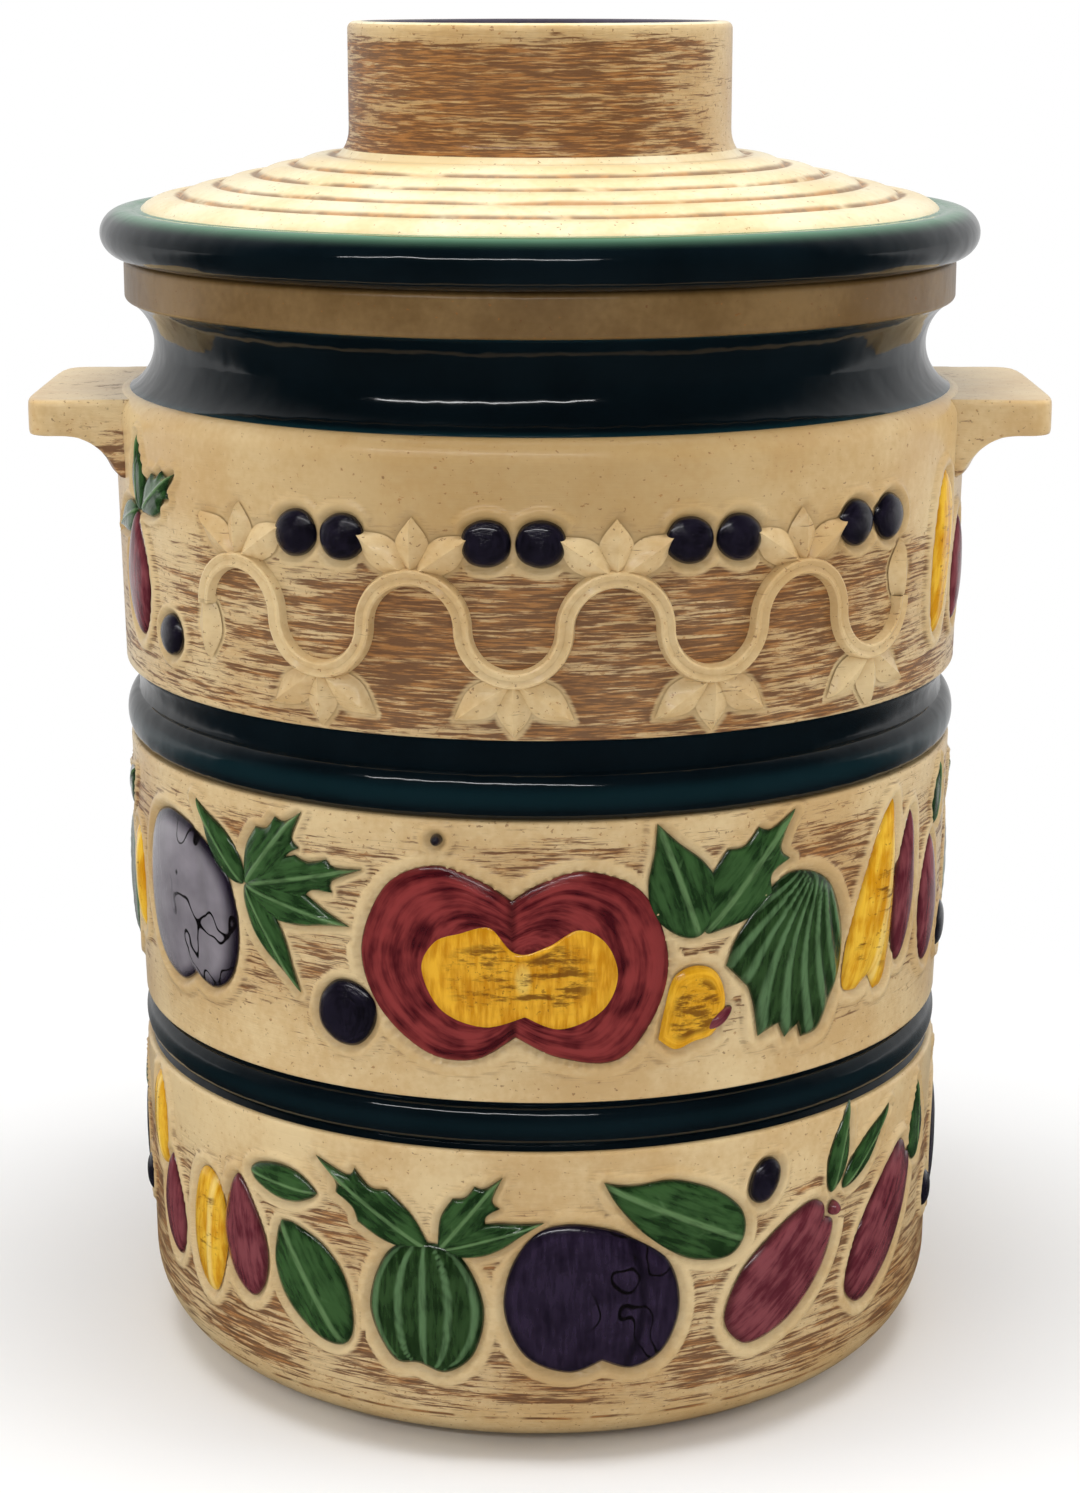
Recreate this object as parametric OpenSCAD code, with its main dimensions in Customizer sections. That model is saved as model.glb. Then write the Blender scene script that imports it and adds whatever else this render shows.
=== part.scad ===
// Lidded stoneware pot for fruit in rum: a crock with two lug handles, a lid with a
// ring grip, and low fruit relief in three bands round the wall.
// Millimetres. +Z is up, the front is -Y, the origin is the centre of the foot.

/* [Foot] */
// Outer radius of the ring that the pot stands on
foot_r = 72; // [66:0.5:78]
// Width of the standing ring
foot_w = 9; // [5:0.5:14]
// Depth of the hollow inside the standing ring
foot_recess = 2.5; // [1:0.5:4]
// Height of the rounded edge between the foot and the wall
foot_round_h = 20; // [14:1:28]

/* [Wall] */
// Thickness of the wall
wall = 6; // [4.5:0.5:8]
// Thickness of the floor
floor_t = 8; // [5:0.5:12]
// Wall radius at the foot of the low band, which the other bands and the lid follow
body_r = 91.7; // [84:0.1:100]
// How much wider the low band is at its head
low_flare = 0.7; // [0:0.1:2]
// Height of the low band
low_h = 51.5; // [44:0.5:62]
// How far the middle band sets in from the head of the low one
mid_in = 0.1; // [0:0.1:1]
// How much wider the middle band is at its head
mid_flare = 1.6; // [0:0.1:3]
// Height of the middle band
mid_h = 61; // [50:0.5:75]
// How far the top band stands out from the head of the middle one
top_out = 0.5; // [0:0.1:1]
// How much wider the top band is at its head
top_flare = 1; // [0:0.1:2]
// Height of the top band
top_h = 56; // [46:0.5:70]

/* [Glazed ridges] */
// Height of the single ridge between the low and middle bands
low_ridge_h = 11; // [8:0.5:16]
// Height of the cove and bead between the middle and top bands
mid_ridge_h = 17; // [13:0.5:22]
// Height of the cove over the bead, as part of that ridge
cove_h = 7; // [5:0.5:9]
// How far the edge of a band stands over the ridge beside it
band_step = 1; // [0.5:0.1:2]
// How far a bead bulges from the bottom of its groove
bead_bulge = 2.8; // [1.5:0.1:4]
// Depth of the groove that a ridge is laid in
groove_d = 4; // [3:0.5:4]

/* [Neck and mouth] */
// Height of the rounded shoulder over the top band
shoulder_h = 5; // [3:0.5:8]
// How far the shoulder draws in
shoulder_in = 3.4; // [2:0.1:5]
// Height of the hollow neck
neck_h = 19; // [14:0.5:26]
// How deep the neck is hollowed
neck_sag = 5.8; // [3:0.1:7]
// How far the mouth band stands in from the head of the top band
mouth_in = 3; // [2:0.1:5]
// Height of the mouth band
mouth_h = 9.5; // [7:0.5:14]
// Width of the mouth band, from its outside to the opening
mouth_w = 12.9; // [10:0.1:16]

/* [Lid] */
// How far the rolled rim of the lid stands over the mouth band
rim_over = 5; // [3:0.1:7]
// Height of the rolled rim
rim_h = 10.6; // [8:0.1:14]
// How far the rolled rim reaches in
rim_w = 11; // [8:0.1:14]
// Rise of the terraced cone from the rim to the collar
cone_rise = 10.7; // [7:0.1:14]
// Number of terraces on the cone
terraces = 5; // [3:1:7]
// How far a terrace swells over its grooves
terrace_h = 0.9; // [0.4:0.1:1.4]
// Thickness of the lid
lid_t = 5.5; // [4:0.5:7]
// Outer radius of the ring grip
collar_r = 42.3; // [34:0.1:50]
// Height of the ring grip over the cone
collar_h = 29; // [18:0.5:36]
// Wall of the ring grip
collar_wall = 4.5; // [3:0.5:7]
// Radius of the fillet at the root of the ring grip
collar_fillet = 4; // [2:0.5:6]
// Depth that the locating ring reaches into the mouth
locate_h = 8; // [5:0.5:12]
// Thickness of the locating ring
locate_t = 4.5; // [3:0.5:6]
// Play between the locating ring and the mouth, each side
lid_play = 1.6; // [0.8:0.1:3]

/* [Handles] */
// How far a handle stands out from the wall
handle_out = 18.1; // [12:0.1:26]
// Width of a handle
handle_w = 62; // [44:1:76]
// Thickness of a handle at its tip
handle_t = 7.8; // [5:0.1:11]
// Radius of the plan curve of its tip
handle_tip_r = 170; // [120:5:260]
// How far the sweep under it reaches out from the wall
handle_sweep = 12; // [6:0.5:14]
// How far that sweep runs down the wall
handle_root_h = 15; // [8:0.5:22]
// Drop of its upper face under the shoulder
handle_drop = 0.6; // [0.2:0.1:3]
// Radius of its plan corners
handle_corner = 5; // [2:0.5:9]

/* [Relief] */
// Height of the fruits over the wall
fruit_h = 2; // [1:0.1:2.4]
// Number of ribs on a ribbed fruit
ribs = 5; // [4:1:7]
// Width of the cut face in an apple half
heart_w = 21; // [16:0.5:24]
// Length of the cut face in an apple half
heart_l = 21; // [16:0.5:26]
// How far the cut face is shifted towards the other half
heart_shift = 4.5; // [0:0.5:5]
// How far the cut face stands over the flesh
heart_rise = 0.4; // [0.2:0.1:0.5]
// Height of the leaves over the wall
leaf_h = 1.2; // [0.6:0.1:2]
// Height of the scroll over the wall
scroll_h = 1.5; // [0.8:0.1:2]
// Gap between neighbouring reliefs
relief_gap = 0.6; // [0.3:0.1:1.5]
// Margin between a relief and the edge of its band
band_margin = 1.5; // [0.8:0.1:3]
// Distance along the wall between the bows of the scroll
bow_pitch = 20.5; // [16:0.5:26]
// Width of the stem of the scroll
stem_w = 4; // [2.4:0.1:5]
// Number of bows in the scroll
bows = 8; // [4:2:8]
// Share of the top band's height at which the scroll runs
scroll_share = 0.41; // [0.36:0.01:0.48]
// Turn of the middle of the scroll from the front
scroll_middle = 3; // [0:0.5:6]
// Length of the middle blade on a crest of the scroll
blade_l = 12; // [8:0.5:13]
// Length of the two blades beside it
side_blade_l = 15; // [10:0.5:17]
// Width of a blade
blade_w = 7; // [4:0.5:8]
// How far the side blades lean from the middle one, in degrees
blade_lean = 55; // [40:1:65]
// Diameter of the berries over the scroll
berry_d = 10.3; // [7:0.1:11]
// Share of the top band's height at which the berries over the scroll sit
berry_share = 0.72; // [0.66:0.01:0.8]
// How many times the ornament stands round the pot
repeats = 2; // [1:1:2]

/* [Hidden] */
$fn = 96;

clay = "#d8bf90";
glaze = "#16303a";

// How many straight pieces stand for a long curve and for a short one
fine = 14;
coarse = 7;

// Radii, from the foot up
low_r0 = body_r;
low_r1 = low_r0 + low_flare;
mid_r0 = low_r1 - mid_in;
mid_r1 = mid_r0 + mid_flare;
top_r0 = mid_r1 + top_out;
top_r1 = top_r0 + top_flare;
mouth_out_r = top_r1 - mouth_in;
mouth_r = mouth_out_r - mouth_w;
rim_r = mouth_out_r + rim_over;
handle_reach = top_r1 + handle_out;

// Levels, from the foot up
z_low0 = foot_round_h;
z_low1 = z_low0 + low_h;
z_mid0 = z_low1 + low_ridge_h;
z_mid1 = z_mid0 + mid_h;
z_top0 = z_mid1 + mid_ridge_h;
z_top1 = z_top0 + top_h;
z_neck0 = z_top1 + shoulder_h;
z_neck1 = z_neck0 + neck_h;
z_mouth = z_neck1 + mouth_h;
z_rim = z_mouth + rim_h;
z_cone = z_rim + cone_rise;
z_top = z_cone + collar_h;
neck_r0 = top_r1 - shoulder_in;
mouth_chamfer = 1.2;
lip_round = 1;
handle_top = z_neck0 - handle_drop;

// Ridges: how deep the laid-in glaze goes, how far the tall bead stands over the wall,
// how far the cove over it is hollowed, and the glaze at the waist of the neck
skin = (groove_d + wall) / 2;
bead_proud = 0.6;
cove_sag = 0.9;
neck_glaze = 1;
neck_lap = 2;

// Lid: the share of the rim's width at which the cone begins, and how far the rim's glaze
// is rolled over, in degrees from the level
rim_meet = 0.84;
rim_wrap = 112;

// Reliefs: the skin that they are cut to, and how deep they are rooted behind the wall
cut_play = 0.1;
skin_over = fruit_h + heart_rise + cut_play;
skin_sides = 120;
fruit_root = 1.5;
leaf_root = 3;
scroll_root = 5;
slice_h = 0.02;

// Fruits: the width under which one is small, the sides of a small, a large and a cut one,
// and the share of the width over which the crown is flat
small_w = 15;
small_sides = 12;
large_sides = 20;
heart_sides = 16;
crown_flat = 0.2;

// Apple halves: how far the cut face sits under the middle, as a share of the band, and
// the width of its rounded edge
heart_drop = 0.03;
heart_edge = 1;

// Ribbed fruits: overlap and width of the ribs in pitches, how fast they shorten towards
// the flanks, and how much they fan out, in degrees a millimetre
rib_lap = 0.6;
rib_w = 1.6;
rib_round = 1.7;
rib_fan = 0.6;

// Leaves: the height of the edge as a share of the whole, the width of the midrib as a
// share of the leaf's, and where along the leaf it starts and ends
edge_share = 0.3;
midrib_w = 0.1;
midrib_from = 0.25;
midrib_to = 0.8;

// Points on a quarter or a part of an ellipse
function ellipse(cr, cz, a, b, from, to, n = fine) =
    [for (i = [0:n]) let (t = from + (to - from) * i / n) [cr + a * cos(t), cz + b * sin(t)]];

// Points on an arc from p up to q, hollowed towards the axis by sag
function cove(p, q, sag, n = fine) =
    let (half = norm(q - p) / 2, r = (half * half + sag * sag) / (2 * sag),
        along = (q - p) / (2 * half), out = [along[1], -along[0]],
        centre = (p + q) / 2 + out * (r - sag),
        mid = atan2(-out[1], -out[0]), spread = asin(half / r))
    [for (i = [0:n]) let (t = mid + spread * (1 - 2 * i / n)) centre + r * [cos(t), sin(t)]];

// Points of one terrace of the cone, from its outer groove in to the next one
function terrace(p, q) = [for (i = [0:coarse - 1])
    p + (q - p) * i / coarse + [0, terrace_h * sin(180 * i / coarse)]];

// A band of the wall: foot height, head height, foot radius, head radius
low_band = [z_low0, z_low1, low_r0, low_r1];
mid_band = [z_mid0, z_mid1, mid_r0, mid_r1];
top_band = [z_top0, z_top1, top_r0, top_r1];
function band_r(band, z) = band[2] + (band[3] - band[2]) * (z - band[0]) / (band[1] - band[0]);

// The rounded edge under the low band
foot_edge = ellipse(foot_r, foot_round_h, low_r0 - foot_r, foot_round_h, -90, 0);

// The clay outside the pot, with plain grooves where the glazed ridges are laid
waist_r = neck_r0 - neck_sag - neck_glaze;
function crock_outside() = concat(
    [[foot_r - foot_w, 0]], foot_edge,
    [[low_r1, z_low1], [low_r1 - groove_d, z_low1], [mid_r0 - groove_d, z_mid0],
        [mid_r0, z_mid0], [mid_r1, z_mid1], [mid_r1 - groove_d, z_mid1],
        [top_r0 - groove_d, z_top0], [top_r0, z_top0]],
    ellipse(neck_r0, z_top1, shoulder_in, shoulder_h, 0, 90, coarse),
    [[waist_r, z_neck0], [waist_r, z_neck1],
        [mouth_out_r - mouth_chamfer, z_neck1], [mouth_out_r, z_neck1 + 2 * mouth_chamfer],
        [mouth_out_r, z_mouth - lip_round], [mouth_out_r - lip_round, z_mouth]]);

// The inside of the pot, from the mouth down to the middle of the floor
function crock_inside() = concat(
    [[mouth_r + lip_round, z_mouth], [mouth_r, z_mouth - lip_round],
        [mouth_r, z_neck0], [top_r1 - wall, z_top1 - 2 * shoulder_h],
        [low_r0 - wall, z_low0]],
    [for (i = [1:fine]) let (t = -90 * i / fine)
        [foot_r - wall + (low_r0 - foot_r) * cos(t), z_low0 + (z_low0 - floor_t) * sin(t)]],
    [[0, floor_t], [0, foot_recess], [foot_r - foot_w - foot_recess, foot_recess]]);

module crock() {
    color(clay) rotate_extrude() polygon(concat(crock_outside(), crock_inside()));
    color(glaze) {
        rotate_extrude() polygon(low_ridge());
        rotate_extrude() polygon(mid_ridge());
        rotate_extrude() polygon(neck_hollow());
    }
}

// The single bead, level with the wall, in section
function low_ridge() =
    let (zc = z_low1 + low_ridge_h / 2, b = low_ridge_h / 2 - band_step)
    concat([[low_r1 - skin, z_low1], [low_r1 - band_step, z_low1]],
        ellipse(low_r1 - bead_bulge, zc, bead_bulge, b, -75, 75),
        [[mid_r0 - band_step, z_mid0], [mid_r0 - skin, z_mid0]]);

// The tall bead with a cove over it, which meet in a crease, in section
function mid_ridge() =
    let (b = (mid_ridge_h - cove_h) / 2, rc = mid_r1 - bead_bulge + bead_proud)
    concat([[mid_r1 - skin, z_mid1]], ellipse(rc, z_mid1 + b, bead_bulge, b, -90, 80),
        cove([rc, z_mid1 + 2 * b], [top_r0 - band_step / 2, z_top0], cove_sag, coarse),
        [[top_r0 - skin, z_top0]]);

// The hollow of the neck, in section
function neck_hollow() =
    concat([[waist_r - neck_lap, z_neck0]],
        cove([neck_r0, z_neck0], [mouth_out_r - mouth_chamfer, z_neck1], neck_sag),
        [[waist_r - neck_lap, z_neck1]]);

// The lid: terraced cone, ring grip and locating ring in clay, rolled rim in glaze
rim_c = rim_r - rim_w / 2;
cone_r0 = rim_r - rim_meet * rim_w;
cone_r1 = collar_r + collar_fillet;
function cone_point(i) =
    [cone_r0 + (cone_r1 - cone_r0) * i / terraces, z_rim + cone_rise * i / terraces];
locate_r = mouth_r - lid_play;

function lid_outside() = concat(
    [[rim_c, z_mouth], [rim_c, z_mouth + rim_h / 2], [cone_r0, z_rim]],
    [for (i = [0:terraces - 1]) each terrace(cone_point(i), cone_point(i + 1))],
    [for (i = [0:coarse]) let (t = 270 - 90 * i / coarse)
        [cone_r1 + collar_fillet * cos(t), z_cone + 1.5 * collar_fillet * (1 + sin(t))]],
    [[collar_r, z_top - lip_round], [collar_r - lip_round, z_top],
        [collar_r - collar_wall, z_top]]);

function lid_inside() =
    [[collar_r - collar_wall, z_top], [collar_r - collar_wall, z_cone + collar_wall],
        [collar_r - 2 * collar_wall, z_cone], [0, z_cone], [0, z_cone - lid_t],
        [cone_r1, z_cone - lid_t], [locate_r - locate_t, z_mouth + lid_t / 2],
        [locate_r - locate_t, z_mouth - locate_h + lip_round],
        [locate_r - locate_t + lip_round, z_mouth - locate_h],
        [locate_r - lip_round, z_mouth - locate_h], [locate_r, z_mouth - locate_h + lip_round],
        [locate_r, z_mouth]];

module lid() {
    color(clay) rotate_extrude() polygon(concat(lid_outside(), lid_inside()));
    color(glaze) rotate_extrude()
        polygon(concat([[cone_r0, z_mouth]], ellipse(rim_c, z_mouth + rim_h / 2, rim_w / 2,
            rim_h / 2, -90, rim_wrap), [[cone_r0, z_rim]]));
}

// The plain outside of the pot, which the handles and the reliefs are fitted to
module pot_outline() {
    rotate_extrude() polygon(concat([[0, 0]], foot_edge,
        [[low_r1, z_low1], [mid_r0, z_mid0], [mid_r1, z_mid1], [top_r0, z_top0]],
        ellipse(neck_r0, z_top1, shoulder_in, shoulder_h, 0, 90, coarse), [[0, z_neck0]]));
}

// A lug in section: flat top, and a sweep from its underside down into the wall
module handle_section() {
    under = handle_top - handle_t;
    back = top_r0 - wall;
    polygon(concat([[back, handle_top], [handle_reach + handle_w, handle_top],
            [handle_reach + handle_w, under]],
        ellipse(top_r1 + handle_sweep, under - handle_root_h, handle_sweep, handle_root_h,
            90, 180, coarse),
        [[back, under - handle_root_h]]));
}

// The space a lug keeps to, seen from the side, with its tip broken above and below
module handle_side() {
    under = handle_top - handle_t;
    tip = handle_reach;
    nose = handle_t / 4;
    polygon([[0, handle_top], [tip - nose, handle_top], [tip, handle_top - nose],
        [tip, under + nose], [tip - nose, under], [tip - nose, 0], [0, 0]]);
}

// A lug seen from above: a shallow arc with rounded corners
module handle_plan() {
    half = handle_w / 2;
    flat = half - handle_corner;
    tip_x = handle_reach - handle_tip_r;
    corner_x = tip_x + sqrt(handle_tip_r * handle_tip_r - flat * flat) - handle_corner;
    spread = asin(flat / handle_tip_r);
    polygon(concat([[0, -half]],
        ellipse(corner_x, -flat, handle_corner, handle_corner, -90, -spread, coarse),
        ellipse(tip_x, 0, handle_tip_r, handle_tip_r, -spread, spread),
        ellipse(corner_x, flat, handle_corner, handle_corner, spread, 90, coarse), [[0, half]]));
}

module handle() {
    color(clay) difference() {
        intersection() {
            rotate_extrude() handle_section();
            linear_extrude(handle_top) handle_plan();
            translate([0, handle_w / 2, 0]) rotate([90, 0, 0])
                linear_extrude(handle_w) handle_side();
        }
        pot_outline();
    }
}

module handle_right() { handle(); }
module handle_left() { rotate(180) handle(); }

// A height on a band, as a share of the band's own height
function at(band, share) = band[0] + share * (band[1] - band[0]);

// Places a relief on a band: x runs to the right, y up and z out of the wall
module on_wall(band, turn, share) {
    z = at(band, share);
    rotate(turn) translate([0, -band_r(band, z), z]) rotate([90, 0, 0]) children();
}

// The ornament is repeated, half a turn apart
module around() {
    for (i = [0:repeats - 1]) rotate(180 * i) children();
}

// Keeps what lies between the wall of a band and a skin h over it. The sides of the inner
// body lie round the wall, so that nothing cuts into it.
module in_skin(band, h) {
    foot = band[0] + band_margin;
    head = band[1] - band_margin;
    round = 1 / cos(180 / skin_sides);
    intersection() {
        around() children();
        difference() {
            translate([0, 0, foot])
                cylinder(r1 = band_r(band, foot) + h, r2 = band_r(band, head) + h, h = head - foot,
                    $fn = skin_sides);
            translate([0, 0, band[0]])
                cylinder(r1 = band[2] * round, r2 = band[3] * round, h = band[1] - band[0],
                    $fn = skin_sides);
        }
    }
}

// A crowned fruit: spec is its turn, share of height, length, width and lean
module fruit(band, spec, grow = 0) {
    l = spec[2] / 2 + grow;
    w = spec[3] / 2 + grow;
    r = band_r(band, at(band, spec[1]));
    drop = r * (1 - cos(w / r * 180 / PI));
    small = spec[3] < small_w;
    sides = small ? small_sides : large_sides;
    top = 1 + crown_flat * crown_flat;
    on_wall(band, spec[0], spec[1]) rotate(-spec[4]) hull() {
        slice(-drop - fruit_root, w, l, sides);
        for (t = small ? [0.4, 1] : [0, 0.5, 0.85, 1]) {
            up = t * fruit_h;
            slice(up, w * sqrt(top - (up + drop) / (fruit_h + drop)), l * sqrt(top - t), sides);
        }
    }
}

// A thin ellipse at height z, of half width w and half length l
module slice(z, w, l, sides) {
    translate([0, 0, z]) linear_extrude(slice_h) scale([w, l]) circle(1, $fn = sides);
}

// A round berry: spec is its turn, share of height and diameter
module berry(band, spec, grow = 0) {
    fruit(band, [spec[0], spec[1], spec[2], spec[2], 0], grow);
}

// A pointed leaf with a raised midrib, from its stalk: turn, share of height, length, width, lean
module leaf(band, spec) {
    l = spec[2];
    w = spec[3];
    edge = [for (t = [-90:30:90]) [w / 2 * cos(t), l / 2 * (1 + t / 90)]];
    rib = midrib_w * w / 2;
    on_wall(band, spec[0], spec[1]) rotate(-spec[4]) hull() {
        translate([0, 0, -leaf_root]) linear_extrude(leaf_root + edge_share * leaf_h) union() {
            polygon(edge);
            mirror([1, 0, 0]) polygon(edge);
        }
        translate([0, 0, leaf_h - slice_h]) linear_extrude(slice_h)
            polygon([[-rib, midrib_from * l], [rib, midrib_from * l], [0, midrib_to * l]]);
    }
}

// A plain pointed blade of the scroll, standing square to the wall
module blade(band, turn, share, l, w, lean) {
    r = (l * l + w * w) / (4 * w);
    on_wall(band, turn, share) rotate(-lean) translate([0, l / 2, 0]) intersection() {
        translate([w / 2 - r, 0, 0]) cylinder(r = r, h = 2 * scroll_root, center = true);
        translate([r - w / 2, 0, 0]) cylinder(r = r, h = 2 * scroll_root, center = true);
    }
}

// The ornament of each band. Fruits: turn, share of height, length, width, lean.
low_plums = [[3.4, 0.36, 33, 25, 3], [10.8, 0.35, 33, 25, -3], [88, 0.45, 32, 26, 0]];
mid_plums = [[-59.5, 0.53, 37, 25, 0], [-51, 0.55, 38, 24, -4]];
mid_apples = [[-12.8, 0.5, 40, 35, 0], [5.9, 0.5, 40, 35, 0]];
low_gourds = [[-15.4, 0.3, 29, 25, 0]];
mid_gourds = [[34, 0.44, 36, 30, 8], [93, 0.42, 32, 26, 0]];
low_yellow = [[-52.7, 0.38, 28, 10.5, 5], [-68, 0.74, 22, 8, 0]];
mid_yellow = [[51.3, 0.57, 40, 12, 14], [-73.5, 0.5, 24, 8, 0]];
top_yellow = [[65, 0.52, 35, 9, 8]];
low_red = [[-45, 0.42, 26, 10.5, -6], [-63.5, 0.37, 22, 9, -4], [34.6, 0.34, 34, 16, 49],
    [56, 0.37, 37, 14.5, 41]];
mid_red = [[58.6, 0.56, 34, 7, 8], [67.5, 0.45, 28, 10, 0]];
top_red = [[-65.5, 0.43, 27, 13, 0], [73, 0.42, 24, 8, 5]];
mid_pears = [[20, 0.3, 18, 15, 0]];

// Berries: turn, share of height, diameter
low_berries = [[31.4, 0.78, 9], [75.5, 0.31, 9], [101, 0.35, 9]];
mid_berries = [[-25.8, 0.28, 14.5], [78, 0.28, 11]];
top_berries = [[-55.6, 0.24, 9.5]];

// Leaves: turn and share of height of the stalk, length, width, lean
low_leaves = [[-31.2, 0.72, 19, 8, -86], [-37, 0.54, 30, 13.5, 145], [-15.4, 0.6, 31, 9, -60],
    [-12.6, 0.61, 20, 9, 40], [-12, 0.6, 21, 6, 74], [28.2, 0.54, 36, 15, -63],
    [43.6, 0.63, 19, 6.5, 14], [46, 0.63, 22, 6.5, 54], [67.5, 0.54, 20, 10, 0],
    [97.5, 0.69, 24, 9, -62]];
mid_leaves = [[-42.4, 0.67, 22, 9, -44], [-42, 0.67, 24, 11, 41], [-42, 0.67, 32, 10, 75],
    [-42, 0.67, 28, 9, 100], [-42, 0.67, 26, 8, 140], [20.7, 0.57, 26, 13, -21],
    [21.6, 0.58, 30, 13, 42], [69.5, 0.72, 15, 8, 8], [92.3, 0.72, 20, 9, -58], [93.7, 0.72, 20, 9, 58]];
top_leaves = [[-64.5, 0.68, 17, 8, 4], [-63.5, 0.68, 20, 9, 58], [-65.5, 0.66, 14, 8, -118]];

module berries_in(band, list, grow = 0) {
    for (spec = list) berry(band, spec, grow);
}

module fruits_in(band, list, grow = 0) {
    for (spec = list) fruit(band, spec, grow);
}

// The scroll: half rings that swing up and down by turns, with leaves on the upper bows
bow_r = bow_pitch / 2;
bow_turn = bow_pitch / band_r(top_band, at(top_band, scroll_share)) * 180 / PI;
scroll_start = scroll_middle - bow_turn * (bows - 1) / 2;

// One half ring, just short of its neighbours: side is 1 where it swings up, -1 where down
module bow(side) {
    big = 2 * bow_pitch;
    cut = side * (relief_gap - big) / 2;
    difference() {
        cylinder(r = bow_r + stem_w / 2, h = 2 * scroll_root, center = true);
        cylinder(r = bow_r - stem_w / 2, h = 4 * scroll_root, center = true);
        translate([0, cut, 0]) cube([big, big, 4 * scroll_root], center = true);
    }
}

module scroll() {
    for (i = [0:bows - 1]) {
        turn = scroll_start + i * bow_turn;
        side = i % 2 == 0 ? 1 : -1;
        on_wall(top_band, turn, scroll_share) bow(side);
        crest = side * bow_r / (z_top1 - z_top0);
        for (lean = [-blade_lean, 0, blade_lean])
            blade(top_band, turn, scroll_share + crest, lean == 0 ? blade_l : side_blade_l,
                blade_w, side > 0 ? lean : 180 + lean);
    }
}

// The berries stand in pairs over the bows that swing down
function scroll_berries() = [for (i = [1:2:bows - 1]) each
    let (turn = scroll_start + i * bow_turn,
        side = (berry_d + relief_gap) / 2 / bow_pitch * bow_turn)
    [[turn - side, berry_share, berry_d], [turn + side, berry_share, berry_d]]];

module plum_relief() {
    color("#2e2233") {
        in_skin(low_band, skin_over) fruits_in(low_band, low_plums);
        in_skin(mid_band, skin_over) fruits_in(mid_band, mid_plums);
    }
}

module apple_relief() {
    color("#6e2128") in_skin(mid_band, skin_over) fruits_in(mid_band, mid_apples);
    color("#d9a32a") in_skin(mid_band, skin_over) hearts();
}

// The cut face in the middle of each apple half, a little proud of the flesh round it
module hearts() {
    for (spec = mid_apples) let (z = at(mid_band, spec[1]), r = band_r(mid_band, z),
        shift = (spec[0] < 0 ? heart_shift : -heart_shift) / r * 180 / PI)
        on_wall(mid_band, spec[0] + shift, spec[1] - heart_drop) hull() {
            slice(0, heart_w / 2, heart_l / 2, heart_sides);
            slice(fruit_h, heart_w / 2, heart_l / 2, heart_sides);
            slice(fruit_h + heart_rise, heart_w / 2 - heart_edge, heart_l / 2 - heart_edge,
                heart_sides);
        }
}

module gourd_relief() {
    color("#2f4a2a") {
        in_skin(low_band, skin_over) for (spec = low_gourds) gourd(low_band, spec);
        in_skin(mid_band, skin_over) for (spec = mid_gourds) gourd(mid_band, spec);
    }
}

// A ribbed fruit: narrow crowned ribs side by side, shorter towards its flanks
module gourd(band, spec, grow = 0) {
    step = spec[3] / (ribs + rib_lap);
    r = band_r(band, at(band, spec[1]));
    for (i = [0:ribs - 1]) let (off = (i - (ribs - 1) / 2) * step, rise = -off * sin(spec[4]),
        turn = spec[0] + off * cos(spec[4]) / r * 180 / PI,
        long = spec[2] * sqrt(1 - pow(rib_round * off / spec[3], 2)))
        fruit(band, [turn, spec[1] + rise / (band[1] - band[0]), long, rib_w * step,
            spec[4] + off * rib_fan], grow);
}

module yellow_pod_relief() {
    color("#d9a32a") {
        in_skin(low_band, skin_over) fruits_in(low_band, low_yellow);
        in_skin(mid_band, skin_over) fruits_in(mid_band, mid_yellow);
        in_skin(top_band, skin_over) fruits_in(top_band, top_yellow);
    }
}

module red_pod_relief() {
    color("#6a2a35") {
        in_skin(low_band, skin_over) fruits_in(low_band, low_red);
        in_skin(mid_band, skin_over) fruits_in(mid_band, mid_red);
        in_skin(top_band, skin_over) fruits_in(top_band, top_red);
    }
}

module berry_relief() {
    color("#1c1826") {
        in_skin(low_band, skin_over) berries_in(low_band, low_berries);
        in_skin(mid_band, skin_over) berries_in(mid_band, mid_berries);
        in_skin(top_band, skin_over) berries_in(top_band, concat(top_berries, scroll_berries()));
    }
}

module pear_relief() {
    color("#e0ac34") in_skin(mid_band, skin_over) difference() {
        fruits_in(mid_band, mid_pears);
        fruits_in(mid_band, mid_apples, relief_gap);
        fruits_in(mid_band, mid_gourds, relief_gap);
    }
}

module leaf_relief() {
    color("#3a5a2c") {
        in_skin(low_band, leaf_h) difference() {
            for (spec = low_leaves) leaf(low_band, spec);
            fruits_in(low_band, concat(low_plums, low_red), relief_gap);
            for (spec = low_gourds) gourd(low_band, spec, relief_gap);
            berries_in(low_band, low_berries, relief_gap);
        }
        in_skin(mid_band, leaf_h) difference() {
            for (spec = mid_leaves) leaf(mid_band, spec);
            fruits_in(mid_band, concat(mid_plums, mid_red, mid_apples), relief_gap);
            for (spec = mid_gourds) gourd(mid_band, spec, relief_gap);
        }
        in_skin(top_band, leaf_h) difference() {
            for (spec = top_leaves) leaf(top_band, spec);
            fruits_in(top_band, top_red, relief_gap);
        }
    }
}

module scroll_relief() {
    color(clay) in_skin(top_band, scroll_h) difference() {
        scroll();
        for (spec = scroll_berries()) on_wall(top_band, spec[0], spec[1])
            translate([0, 0, -wall]) cylinder(r = berry_d / 2 + relief_gap, h = 2 * wall);
    }
}

crock();
handle_left();
handle_right();
lid();
plum_relief();
apple_relief();
gourd_relief();
yellow_pod_relief();
red_pod_relief();
berry_relief();
pear_relief();
leaf_relief();
scroll_relief();
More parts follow.
